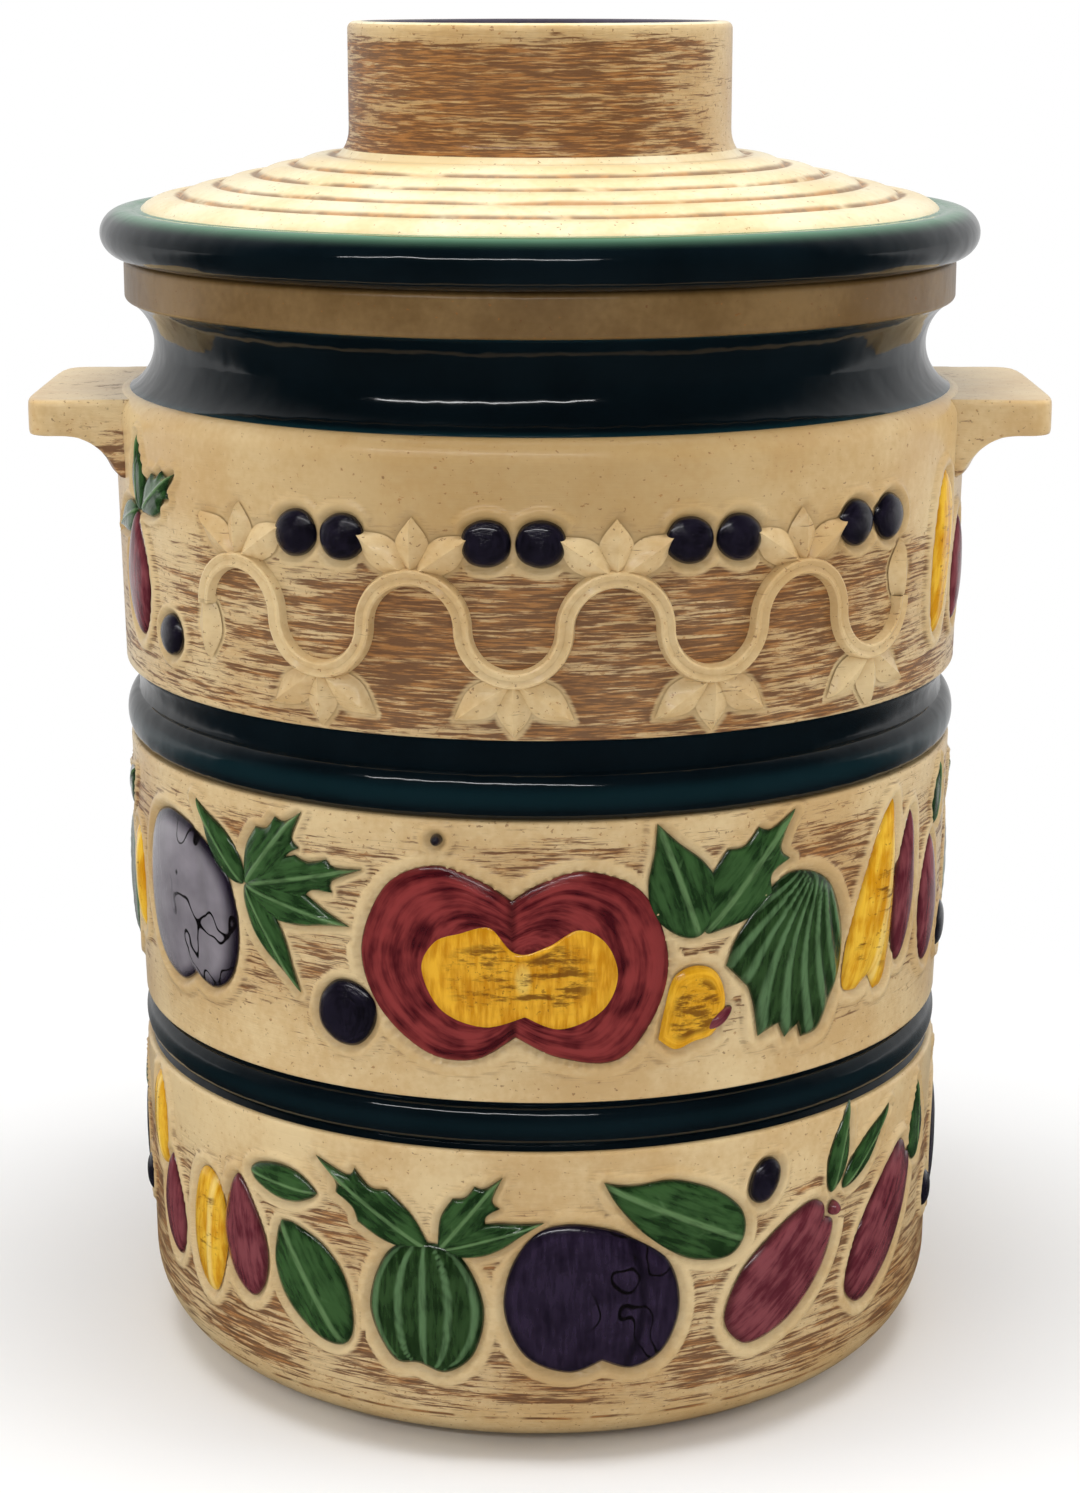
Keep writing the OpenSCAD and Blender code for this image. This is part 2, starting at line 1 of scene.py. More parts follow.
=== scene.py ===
# %% [markdown]
# # A lidded fruit pot in glazed stoneware
# This lesson dresses a stoneware crock for fruit in rum: a banded round body with low
# fruit relief, two lug handles, and a terraced lid with an open ring grip.
# The construction model gives the sizes and the moving lid. Here each surface gets its
# real shape and glaze. Every piece is made in the pot's own frame: +Z is up, the front
# faces -Y, and the origin is the middle of the foot.

# %% Load the frame
import math
import bmesh
import bpy
import numpy as np
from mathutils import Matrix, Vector, kdtree


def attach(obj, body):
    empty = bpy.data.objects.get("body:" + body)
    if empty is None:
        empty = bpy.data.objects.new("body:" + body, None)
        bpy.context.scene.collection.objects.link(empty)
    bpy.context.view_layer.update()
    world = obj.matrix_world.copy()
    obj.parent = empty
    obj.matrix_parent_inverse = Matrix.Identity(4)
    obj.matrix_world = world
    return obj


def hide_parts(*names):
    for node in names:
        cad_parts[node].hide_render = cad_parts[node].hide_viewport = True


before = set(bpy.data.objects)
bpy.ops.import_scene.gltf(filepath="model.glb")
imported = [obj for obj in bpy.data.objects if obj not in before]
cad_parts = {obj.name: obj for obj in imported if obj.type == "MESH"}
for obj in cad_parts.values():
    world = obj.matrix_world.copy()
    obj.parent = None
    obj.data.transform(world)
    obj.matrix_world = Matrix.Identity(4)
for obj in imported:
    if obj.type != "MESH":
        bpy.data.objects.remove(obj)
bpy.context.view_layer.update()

MM = 0.001
SAME = 1e-6  # points nearer than this, in metres, are one
TAU = 2 * math.pi
print("nodes", sorted(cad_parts))

# %% [markdown]
# ## Camera, floor and light
# The pot was seen from a little above, close by. A long lens keeps its sides nearly
# parallel, and the pitch is what makes the lid's rim an ellipse.
# The floor is a wide disc. Near the pot it is a matt surface that takes a soft shadow;
# further out it turns white for the camera. A mirrored floor is dark in front and pale
# behind, which keeps the dark glaze deep towards the viewer.

# %% Camera
camera = bpy.data.objects.new("camera", bpy.data.cameras.new("camera"))
bpy.context.collection.objects.link(camera)
camera.location = (0, -0.693, 0.3088)
camera.rotation_euler = (math.radians(76), 0, 0)
camera.data.sensor_width = 36
camera.data.lens = 74.05
camera.data.clip_end = 60
bpy.context.scene.camera = camera
bpy.context.scene.view_settings.view_transform = "Standard"


# %% Node helpers
def feed(tree, socket, value):
    """Links a socket's value to another socket, or sets it."""
    if isinstance(value, bpy.types.NodeSocket):
        tree.links.new(value, socket)
    else:
        socket.default_value = value


def add(tree, kind, settings=None, **inputs):
    """A new node. settings are its properties; inputs are named with _ for a space, or _0, _1 ..."""
    made = tree.nodes.new("ShaderNode" + kind)
    for key, value in (settings or {}).items():
        setattr(made, key, value)
    for key, value in inputs.items():
        name = int(key[1:]) if key[1:].isdigit() else key.replace("_", " ")
        feed(tree, made.inputs[name], value)
    return made


def calc(tree, operation, a, b=0.0, c=0.0):
    return add(tree, "Math", {"operation": operation}, _0=a, _1=b, _2=c).outputs[0]


def times(tree, a, b):
    return calc(tree, "MULTIPLY", a, b)


def away(tree, value, other):
    """How far a value is from another."""
    return calc(tree, "ABSOLUTE", calc(tree, "SUBTRACT", value, other))


def fade(tree, value, low, high):
    """0 below low, 1 above high, smooth between."""
    settings = {"interpolation_type": "SMOOTHSTEP"}
    return add(tree, "MapRange", settings, Value=value, From_Min=low, From_Max=high).outputs[0]


def mix(tree, factor, a, b):
    """A blend of two colours."""
    return add(tree, "Mix", {"data_type": "RGBA"}, _0=factor, _6=a, _7=b).outputs[2]


def scaled(tree, vector, x, y, z):
    return add(tree, "VectorMath", {"operation": "MULTIPLY"}, _0=vector, _1=(x, y, z)).outputs[0]


def noise(tree, vector, scale, detail=3.0, rough=0.5):
    made = add(tree, "TexNoise", None, Vector=vector, Scale=scale, Detail=detail, Roughness=rough)
    return made.outputs["Fac"]


def fact(tree, name):
    """A number kept on the mesh."""
    return add(tree, "Attribute", {"attribute_name": name}).outputs["Fac"]


def object_mm(tree):
    """The place on the piece, in millimetres."""
    return scaled(tree, add(tree, "TexCoord").outputs["Object"], 1000, 1000, 1000)


def colour(code):
    """A colour written as it looks, turned into the linear one that shaders use."""
    parts = [int(code[i:i + 2], 16) / 255 for i in (0, 2, 4)]
    return [p / 12.92 if p <= 0.04045 else ((p + 0.055) / 1.055) ** 2.4 for p in parts] + [1]


def material(name):
    """An empty node material, its tree and its Principled shader."""
    made = bpy.data.materials.new(name)
    made.use_nodes = True
    return made, made.node_tree, made.node_tree.nodes["Principled BSDF"]


# %% Floor
bm = bmesh.new()
bmesh.ops.create_circle(bm, cap_ends=True, segments=96, radius=12)
floor_mesh = bpy.data.meshes.new("floor")
bm.to_mesh(floor_mesh)
bm.free()
floor = bpy.data.objects.new("floor", floor_mesh)
bpy.context.collection.objects.link(floor)

floor_paint, tree, shader = material("floor_paint")
shader.inputs["Base Color"].default_value = (0.87, 0.87, 0.87, 1)
shader.inputs["Roughness"].default_value = 0.9
reach = add(tree, "VectorMath", {"operation": "LENGTH"}, _0=add(tree, "TexCoord").outputs["Object"])
far = fade(tree, reach.outputs["Value"], 0.11, 0.36)
path = add(tree, "LightPath")
white = add(tree, "Emission", None, Color=(1, 1, 1, 1), Strength=1.0)
blend = add(tree, "MixShader", None, _0=times(tree, far, path.outputs["Is Camera Ray"]),
            _1=shader.outputs[0], _2=white.outputs[0])
behind = add(tree, "SeparateXYZ", None, Vector=add(tree, "TexCoord").outputs["Object"])
dim = calc(tree, "MULTIPLY_ADD", fade(tree, behind.outputs["Y"], 0.0, 0.5), 0.6, 0.02)
mirrored = add(tree, "Emission", None, Color=(1, 1, 1, 1), Strength=dim)
blend = add(tree, "MixShader", None, _0=path.outputs["Is Glossy Ray"], _1=blend.outputs[0],
            _2=mirrored.outputs[0])
tree.links.new(blend.outputs[0], tree.nodes["Material Output"].inputs["Surface"])
floor_mesh.materials.append(floor_paint)

# %% [markdown]
# ## Light
# One broad softbox hangs over the pot, which brightens the lid's cone and the tops of the
# lugs. Two tall ones at the sides give the pale edges of the round body. The front gets
# only a little light, so the dark glaze there stays deep. The glaze mirrors none of these
# but one thin lamp, which draws its long highlights, and a room that is dark in front and
# pale behind.

# %% Lamps
def softbox(name, place, target, size, power, mirrored=True):
    """A rectangular lamp; one that isn't mirrored leaves no shape in the glaze."""
    lamp = bpy.data.lights.new(name, "AREA")
    lamp.shape = "RECTANGLE"
    lamp.size, lamp.size_y = size
    lamp.energy = power
    made = bpy.data.objects.new(name, lamp)
    made.location = place
    aim = Vector(target) - Vector(place)
    made.rotation_euler = aim.to_track_quat("-Z", "Y").to_euler()
    made.visible_glossy = mirrored
    bpy.context.collection.objects.link(made)


softbox("top_light", (0.0, -0.1, 1.3), (0, 0, 0.15), (1.0, 0.5), 13, False)
softbox("left_light", (-1.1, -0.15, 0.6), (0, 0, 0.15), (0.5, 0.9), 3.5, False)
softbox("right_light", (1.1, -0.15, 0.6), (0, 0, 0.15), (0.5, 0.9), 4, False)
softbox("front_light", (0.1, -1.5, 0.35), (0, 0, 0.08), (0.9, 0.4), 2.4, False)
softbox("thin_light", (-0.4, -1.3, 0.95), (0, 0, 0.2), (1.7, 0.035), 4.5)

world = bpy.data.worlds.new("studio")
bpy.context.scene.world = world
world.use_nodes = True
tree = world.node_tree
side = add(tree, "SeparateXYZ", None, Vector=add(tree, "TexCoord").outputs["Generated"])
room = add(tree, "MapRange", None, Value=side.outputs["Y"], From_Min=-0.9, From_Max=0.3,
           To_Min=0.14, To_Max=0.5)
mirror = calc(tree, "MULTIPLY_ADD", fade(tree, side.outputs["Y"], -0.25, 0.75), 0.6, 0.01)
path = add(tree, "LightPath")
level = add(tree, "Mix", None, _0=path.outputs["Is Glossy Ray"], _2=room.outputs[0], _3=mirror)
level = add(tree, "Mix", None, _0=path.outputs["Is Camera Ray"], _2=level.outputs[0], _3=1.0)
tree.links.new(level.outputs[0], tree.nodes["Background"].inputs["Strength"])
tree.nodes["Background"].inputs["Color"].default_value = (1, 1, 1, 1)

# %% [markdown]
# ## Sizes
# All sizes are in millimetres. A band of the wall is its foot and head height and the
# radius at each. The glazed ridges, the neck, the mouth and the lid stand on these.

# %% Levels and radii
FOOT_R, FOOT_W, FOOT_RECESS, FOOT_ROUND = 72, 9, 2.5, 20
BANDS = {"low": (20, 71.5, 91.7, 92.4), "middle": (82.5, 143.5, 92.3, 93.9),
         "top": (160.5, 216.5, 94.4, 95.4)}
WALL, FLOOR = 6, 8
NECK0, NECK1, NECK_R, NECK_SAG = 221.5, 240.5, 92.0, 5.8
MOUTH, MOUTH_OUT, MOUTH_IN = 250, 92.4, 79.5
RIM_R, RIM_H, RIM_W = 97.4, 10.6, 11
CONE0, CONE1, TOP = 260.6, 271.3, 300.3
COLLAR_R, COLLAR_WALL = 42.3, 4.5


def wall_r(band, z):
    """Radius of the plain wall at a height; under the low band it curves in to the foot."""
    z0, z1, r0, r1 = BANDS[band]
    straight = r0 + (r1 - r0) * (z - z0) / (z1 - z0)
    if band == "low" and z < z0:
        return FOOT_R + (r0 - FOOT_R) * math.sqrt(max(0.0, 1 - ((z0 - z) / FOOT_ROUND) ** 2))
    return straight


def at(band, share):
    """The height at a share of a band."""
    z0, z1 = BANDS[band][:2]
    return z0 + share * (z1 - z0)


def share_of(band, z):
    """The share of a band at a height."""
    z0, z1 = BANDS[band][:2]
    return (z - z0) / (z1 - z0)


def out_from(r, turn, z):
    """The place at a radius, a turn from the front in radians, and a height."""
    return r * math.sin(turn), -r * math.cos(turn), z


def on_wall(band, turn, z, x, y, lean):
    """Turn and height of a flat point (x, y) beside a place on the wall."""
    cos, sin = math.cos(math.radians(lean)), math.sin(math.radians(lean))
    return math.radians(turn) + (x * cos + y * sin) / wall_r(band, z), z + (y * cos - x * sin)


# %% [markdown]
# ## Turned pieces
# A pot is thrown on a wheel, so most of it is a line turned round the axis. The line is
# a few arcs and straights. A flat grid is rolled up along it, which is much quicker than
# a spin in hundreds of steps; doubles at the seam and at the poles are merged before the
# normals are worked out.

# %% Lines and turning
def arc(r, z, a, b, start, end, n):
    """Points on part of an ellipse round (r, z), from one angle to another in degrees."""
    return [(r + a * math.cos(t), z + b * math.sin(t)) for t in np.radians(np.linspace(start, end, n + 1))]


def cove(p, q, sag, n):
    """Points on a hollow arc from p up to q, sagging towards the axis."""
    half = math.dist(p, q) / 2
    radius = (half ** 2 + sag ** 2) / (2 * sag)
    out = ((q[1] - p[1]) / (2 * half), (p[0] - q[0]) / (2 * half))
    centre = [(p[i] + q[i]) / 2 + out[i] * (radius - sag) for i in (0, 1)]
    middle = math.degrees(math.atan2(-out[1], -out[0]))
    spread = math.degrees(math.asin(half / radius))
    return arc(*centre, radius, radius, middle + spread, middle - spread, n)


def fine(line, step):
    """The same line with a point at least every step."""
    out = [line[0]]
    for (r0, z0), (r1, z1) in zip(line, line[1:]):
        n = max(1, math.ceil(math.hypot(r1 - r0, z1 - z0) / step))
        out += [(r0 + (r1 - r0) * k / n, z0 + (z1 - z0) * k / n) for k in range(1, n + 1)]
    return out


def finish_mesh(bm, name, sharp=38):
    """Turns a bmesh into an object with smooth faces and crisp edges."""
    mesh = bpy.data.meshes.new(name)
    bm.to_mesh(mesh)
    bm.free()
    mesh.polygons.foreach_set("use_smooth", [True] * len(mesh.polygons))
    mesh.set_sharp_from_angle(angle=math.radians(sharp))
    piece = bpy.data.objects.new(name, mesh)
    bpy.context.collection.objects.link(piece)
    print(name, len(mesh.vertices), "vertices", sum(len(p.vertices) - 2 for p in mesh.polygons), "triangles")
    return piece


def turned(name, line, steps=256):
    """Rolls a grid into the closed line of (radius, height) turned round the axis."""
    bm = bmesh.new()
    rows = len(line)
    bmesh.ops.create_grid(bm, x_segments=steps, y_segments=rows, size=1)
    for v in bm.verts:
        turn = math.pi * v.co.x
        r, z = line[round((v.co.y + 1) / 2 * rows) % rows]
        v.co = (r * MM * math.sin(turn), -r * MM * math.cos(turn), z * MM)
    bmesh.ops.remove_doubles(bm, verts=bm.verts, dist=SAME)
    bmesh.ops.recalc_face_normals(bm, faces=bm.faces)
    return finish_mesh(bm, name)


def places(piece):
    """A mesh's points in millimetres, as an array."""
    co = np.empty(len(piece.data.vertices) * 3)
    piece.data.vertices.foreach_get("co", co)
    return co.reshape(-1, 3) / MM


def note(piece, name, values):
    """Keeps one number a point on the mesh, for its material to read."""
    kept = piece.data.attributes.new(name, "FLOAT", "POINT")
    kept.data.foreach_set("value", np.asarray(values, dtype=np.float32))


# %% [markdown]
# ## The ornament
# Each motif is pressed in a mould as a low dome with a crisp outline, and a soft cream
# border stands round it. A motif is written as its kind, band, turn from the front in
# degrees, share of the band's height, length, width and lean. The pot carries the same
# ornament twice, half a turn apart. Leaves are placed by their stalk, the rest by the
# middle.

# %% Where the fruits are
FRUITS = [
    ("twin plum", "low", 7.1, 0.36, 34, 38, 0), ("plum", "low", 88, 0.45, 32, 26, 0),
    ("twin plum", "middle", -55.4, 0.54, 38.5, 38, -4),
    ("apple pair", "middle", -3.5, 0.49, 42.5, 65, 0), ("heart pair", "middle", -2.6, 0.46, 22, 40, 0),
    ("gooseberry", "low", -15.4, 0.3, 29.5, 25.5, 0), ("gourd", "middle", 34.2, 0.45, 37, 31, 6),
    ("gooseberry", "middle", 93, 0.42, 32, 26, 0),
    ("yellow pod", "low", -52.6, 0.38, 29, 13, 5), ("yellow pod", "low", -68, 0.74, 22, 8, 0),
    ("cut pod", "middle", 51.0, 0.58, 42, 16, 12), ("yellow pod", "middle", -73.5, 0.5, 24, 8, 0),
    ("yellow pod", "top", 65, 0.52, 35, 9, 8),
    ("red pod", "low", -44.6, 0.43, 28, 13.5, -7), ("red pod", "low", -63.5, 0.38, 24, 11, -4),
    ("red fruit", "low", 34.8, 0.34, 35, 19, 47), ("red fruit", "low", 56, 0.38, 38, 17, 39),
    ("red pod", "middle", 58, 0.57, 34, 8.5, 6), ("red pod", "middle", 67.3, 0.46, 30, 12, 0),
    ("red pod", "top", -65.5, 0.43, 27, 13, 0), ("red pod", "top", 73, 0.42, 24, 8, 5),
    ("pear", "middle", 20, 0.32, 18, 15, 0), ("seed", "middle", 23.6, 0.27, 7.5, 3.4, 55),
    ("seed", "low", 44, 0.56, 3.6, 3.2, 0), ("berry", "low", 31.4, 0.78, 10.5, 7.5, 22)]
BERRIES = [("low", 75.5, 0.31, 9), ("low", 101, 0.35, 9), ("middle", -25.8, 0.28, 14.5),
           ("middle", 78, 0.28, 11), ("middle", -13, 0.93, 2.6), ("top", -55.6, 0.24, 9.5)]

# %% Where the leaves are
LEAVES = [
    ("blunt leaf", "low", -31.2, 0.72, 19, 8, -86), ("blunt leaf", "low", -37.4, 0.56, 30, 17.5, 148),
    ("toothed leaf", "low", -14.6, 0.55, 32, 11, -57), ("toothed leaf", "low", -13.4, 0.56, 22, 10, 38),
    ("leaf", "low", -13, 0.56, 23, 7, 72), ("broad leaf", "low", 28.2, 0.54, 36, 16, -63),
    ("leaf", "low", 43.6, 0.63, 21, 6.5, 14), ("leaf", "low", 46, 0.63, 23, 6, 50),
    ("leaf", "low", 67.5, 0.54, 20, 10, 0), ("toothed leaf", "low", 97.5, 0.69, 24, 9, -62),
    ("leaf", "middle", -42.4, 0.67, 22, 8, -44), ("toothed leaf", "middle", -42, 0.67, 25, 12, 41),
    ("toothed leaf", "middle", -42, 0.67, 32, 10, 75), ("leaf", "middle", -42, 0.67, 28, 9, 100),
    ("leaf", "middle", -42, 0.67, 26, 7.5, 145), ("leaf", "middle", 20.7, 0.57, 27, 15, -21),
    ("toothed leaf", "middle", 21.6, 0.58, 32, 16, 40), ("leaf", "middle", 69.5, 0.72, 15, 8, 8),
    ("leaf", "middle", 92.3, 0.72, 20, 9, -58), ("leaf", "middle", 93.7, 0.72, 20, 9, 58),
    ("leaf", "top", -64.5, 0.68, 17, 7, 4), ("toothed leaf", "top", -63.5, 0.68, 20, 9, 58),
    ("leaf", "top", -65.5, 0.68, 16, 7, -112)]

# %% [markdown]
# ## Outlines
# An outline is a handful of points in hundredths of half the width and half the length,
# joined by a smooth closed curve. A point with an "s" is a sharp one: the curve comes to
# a corner there.

# %% Outline shapes
OUTLINES = {
    "berry": [(0, 100), (74, 72), (100, 0), (70, -76), (0, -100), (-75, -70), (-100, 5), (-70, 76)],
    "plum": [(0, 100), (68, 80), (100, 10), (76, -70), (15, -100), (-60, -82), (-100, -10), (-72, 74)],
    "twin plum": [(-30, 100), (12, 93), (40, 80), (86, 42), (100, -20), (82, -76), (45, -98),
                  (10, -86, "s"), (-28, -100), (-76, -78), (-100, -20), (-93, 40), (-66, 86)],
    "apple pair": [(0, 68, "s"), (16, 84), (46, 97), (82, 74), (100, 10), (93, -50), (68, -97),
                   (30, -93), (2, -72, "s"), (-24, -96), (-56, -92), (-88, -50), (-100, 10), (-82, 76),
                   (-50, 100), (-20, 87)],
    "heart pair": [(-4, 50), (30, 66), (60, 95), (88, 66), (100, 0), (84, -66), (42, -100),
                   (6, -76, "s"), (-36, -98), (-80, -68), (-100, 10), (-86, 66), (-62, 86, "s"),
                   (-30, 100)],
    "gooseberry": [(0, 100), (62, 82), (100, 8), (84, -66), (36, -100), (-12, -90), (-60, -86),
                   (-100, -10), (-66, 78)],
    "gourd": [(10, 100), (62, 82), (95, 30), (100, -25), (86, -60, "s"), (70, -92), (40, -100, "s"),
              (30, -84, "s"), (10, -98, "s"), (-4, -80, "s"), (-36, -94, "s"), (-50, -55),
              (-62, -34, "s"), (-100, -8, "s"), (-86, 30), (-36, 88)],
    "yellow pod": [(-10, 100), (60, 78), (100, 10), (80, -60), (35, -100), (-40, -88), (-90, -40),
                   (-100, 30), (-70, 86)],
    "cut pod": [(5, 100, "s"), (42, 60), (86, -10), (100, -86), (60, -100, "s"), (20, -84, "s"),
                (-30, -100, "s"), (-86, -96), (-100, -50), (-72, 20), (-36, 76)],
    "red pod": [(0, 100), (55, 60), (100, -5), (80, -66), (10, -100), (-70, -70), (-100, 0), (-62, 62)],
    "red fruit": [(-20, 100), (10, 90, "s"), (50, 92), (95, 40), (100, -30), (60, -86), (10, -100),
                  (-55, -88), (-100, -30), (-92, 40), (-60, 88)],
    "pear": [(10, 100), (74, 74), (100, 0), (66, -70), (5, -86), (-50, -100), (-100, -72, "s"),
             (-84, 0), (-56, 78)],
    "seed": [(0, 100), (80, 40), (90, -40), (0, -100), (-90, -50), (-80, 40)],
    "leaf": [(0, 100, "s"), (38, 56), (86, 10), (100, -34), (62, -80), (0, -100), (-60, -80),
             (-100, -34), (-84, 14), (-36, 58)],
    "toothed leaf": [(6, 100, "s"), (36, 50), (82, 46, "s"), (62, 14), (100, -6, "s"), (80, -50),
                     (30, -86), (0, -100), (-34, -84), (-86, -44), (-98, 2, "s"), (-62, 20),
                     (-60, 50, "s"), (-22, 60)],
    "blunt leaf": [(0, 100), (60, 74), (100, 10), (86, -46), (34, -86), (0, -100, "s"), (-40, -84),
                   (-90, -40), (-100, 16), (-56, 80)],
    "broad leaf": [(5, 100, "s"), (30, 66), (84, 24), (100, -32), (74, -80), (10, -100), (-60, -90),
                   (-100, -40), (-84, 20), (-40, 70)],
    "blade": [(0, 100, "s"), (80, 40), (100, 0), (70, -60), (0, -100, "s"), (-70, -60), (-100, 0),
              (-80, 40)]}


def outline(kind, length, width, n):
    """About n points in mm along the smooth closed curve of a kind."""
    knots = []
    for x, y, *sharp in OUTLINES[kind]:
        knots += [Vector((x / 100 * width / 2, y / 100 * length / 2))] * (2 if sharp else 1)
    count = len(knots)
    total = sum((knots[i] - knots[i - 1]).length for i in range(count))
    points = []
    for i in range(count):
        a, b, c, d = (knots[(i + k) % count] for k in (-1, 0, 1, 2))
        span = (c - b).length
        steps = max(1, round(n * span / total)) if span else 0
        for t in (k / steps for k in range(steps)):
            points.append(0.5 * (2 * b + (c - a) * t + (2 * a - 5 * b + 4 * c - d) * t * t
                                 + (3 * b - a - 3 * c + d) * t ** 3))
    return points


# %% [markdown]
# ## Motif meshes
# Each motif starts as a flat grid whose columns are turned into rays from its middle to
# the outline. Its height becomes the dome's profile, and the flat shape is then wrapped
# round the wall. The mesh keeps a few numbers a point: the place within the motif, how
# near the rim it is, and the height of ribs, veins or creases, so that the paint can
# follow the modelling.

# %% Reliefs of each kind
HEIGHT = {"berry": 1.8, "leaf": 1.0, "toothed leaf": 1.0, "blunt leaf": 1.2, "broad leaf": 1.3, "blade": 1.9,
          "twin plum": 2.7, "seed": 1.9, "pear": 1.6}


def ridges(kind, x, y, length, width):
    """Height of the modelling on a motif, from -1 in a crease to 1 on a rib."""
    u, v = 2 * x / width, 2 * y / length
    if kind == "twin plum":
        return -math.exp(-((u - 0.34 - 0.2 * math.cos(1.6 * v)) / 0.07) ** 2)
    if kind == "apple pair":
        return -math.exp(-(u / 0.05) ** 2) * (0.4 + 0.6 * abs(v))
    if kind == "heart pair":
        return math.exp(-((u - 0.04) / 0.09) ** 2) * fall(v, 0.6)
    if kind == "gourd":
        fan = math.atan2(u + 0.3 * (1 - v * v) - 0.35, 1.3 - v)
        return abs(math.sin(17 * fan)) ** 3
    if kind == "gooseberry":
        across = u / math.sqrt(max(0.06, 1.04 - v * v))
        return abs(math.cos(7.4 * across)) ** 6
    if kind in ("cut pod", "yellow pod"):
        return math.exp(-((u - 0.3) / 0.16) ** 2)
    if kind.endswith("leaf"):
        vein = math.exp(-(u / 0.1) ** 2)
        sides = max(0.0, math.sin(9 * v - 5 * abs(u))) ** 6 * fall(u, 0.8)
        return max(vein, 0.55 * sides)
    return 0.0


def fall(t, reach):
    """1 in the middle, smoothly down to 0 at reach."""
    t = min(1.0, abs(t) / reach)
    return 1 - t * t * (3 - 2 * t)


def dome(kind, rho, x, y, length, width):
    """Height of a motif over the wall, in mm, at a share rho of the way to its rim."""
    top = HEIGHT.get(kind, 1.95)
    if kind == "blade":
        roof = 1 - abs(2 * x / width) / max(0.08, 1 - (2 * y / length) ** 2)
        return top * max(0.0, roof) ** 0.8 * (1 - rho ** 6)
    if kind == "heart pair":
        return 1.75 + 0.65 * (1 - rho ** 4) ** 0.5 + 0.25 * ridges(kind, x, y, length, width) * (1 - rho)
    power = 3.2 if "leaf" in kind else 2.4
    depth = {"gourd": 0.45, "gooseberry": 0.3, "twin plum": 0.4, "apple pair": 0.7}.get(kind, 0.2)
    body = top * (1 - rho ** power) ** 0.55
    return body + depth * ridges(kind, x, y, length, width) * min(1.0, 4 * (1 - rho))


# %% Building a motif
# Up to a size in mm: points round the outline, and rings from the middle.
FINENESS = ((12, 48, 8), (34, 96, 14), (math.inf, 144, 22))


def add_motif(bm, kind, band, turn, z, length, width, lean, tone, sunk=0.12):
    """Adds one motif to a bmesh, wrapped on its band's wall."""
    points, rings = next(fineness[1:] for fineness in FINENESS if max(length, width) < fineness[0])
    rim = outline(kind, length, width, points)
    n = len(rim)
    made = bmesh.ops.create_grid(bm, x_segments=n, y_segments=rings, size=1)["verts"]
    layers = {k: bm.verts.layers.float[k] for k in ("along", "across", "rim", "rib", "tone")}
    for v in made:
        rho = math.sin(math.pi / 4 * (v.co.y + 1))
        x, y = rim[round((v.co.x + 1) / 2 * n) % n] * rho
        up = dome(kind, rho, x, y, length, width) - sunk * rho ** 8
        v[layers["across"]], v[layers["along"]] = x, y
        v[layers["rim"]], v[layers["tone"]] = rho, tone
        v[layers["rib"]] = ridges(kind, x, y, length, width)
        angle, height = on_wall(band, turn, z, x, y, lean)
        v.co = Vector(out_from(wall_r(band, height) + up, angle, height)) * MM
    bmesh.ops.remove_doubles(bm, verts=made, dist=SAME)


def middle_of(kind, band, turn, share, length, width, lean):
    """A leaf is placed by its stalk; its middle lies half its length along its lean."""
    z = at(band, share)
    if not kind.endswith("leaf"):
        return turn, z
    sway, rise = length / 2 * math.sin(math.radians(lean)), length / 2 * math.cos(math.radians(lean))
    return turn + math.degrees(sway / wall_r(band, z)), z + rise


# %% [markdown]
# ## The scroll over the lower half of the top band
# A running scroll of half rings swings along the band, with three blades on each crest
# and a pair of berries over each hollow. A blade closes each end. Like carved clay it has
# a face with a shallow groove and steep sloping sides. Half a ring is its section spun
# half a turn; the strip is made flat and then wrapped.

# %% Scroll places
BOW, BOWS, STEM, SCROLL_H = 20.5, 8, 4, 2.0
PAIR_D, PAIR_GAP, BLADES_R = 10.3, 0.6, 95
SCROLL_Z = at("top", 0.41)
BOW_TURN = math.degrees(BOW / wall_r("top", SCROLL_Z))
SCROLL_START = 3 - BOW_TURN * (BOWS - 1) / 2
BLADES = []
for i in range(BOWS):
    bow_up = 1 if i % 2 == 0 else -1
    for lean, length in ((-55, 15), (0, 12), (55, 15)):
        lean = lean if bow_up > 0 else 180 + lean
        crest = SCROLL_Z + bow_up * BOW / 2
        sway = length / 2 * math.sin(math.radians(lean)) / BLADES_R
        turn = SCROLL_START + i * BOW_TURN + math.degrees(sway)
        z = crest + length / 2 * math.cos(math.radians(lean))
        BLADES.append(("blade", "top", turn, z, length, 7, lean))
    if bow_up < 0:
        beside = (PAIR_D + PAIR_GAP) / 2 / BOW * BOW_TURN
        BERRIES += [("top", SCROLL_START + i * BOW_TURN + side * beside, 0.72, PAIR_D) for side in (-1, 1)]
for i, lean, rise in ((-0.5, 180, -5), (BOWS - 0.5, 0, 5)):
    BLADES.append(("blade", "top", SCROLL_START + i * BOW_TURN, SCROLL_Z + rise, 14, 7.5, lean))
print("scroll from", SCROLL_START, "berries", len(BERRIES))

# %% All motifs, twice round
MOTIFS = []
for kind, band, turn, share, length, width, lean in FRUITS + LEAVES:
    turn, z = middle_of(kind, band, turn, share, length, width, lean)
    MOTIFS.append((kind, band, turn, z, length, width, lean))
MOTIFS += [("berry", band, turn, at(band, share), d, d * 0.94, 10 * i)
           for i, (band, turn, share, d) in enumerate(BERRIES)]
MOTIFS += BLADES
MOTIFS = [(m[0], m[1], m[2] + half, *m[3:]) for half in (0, 180) for m in MOTIFS]
print(len(MOTIFS), "motifs")

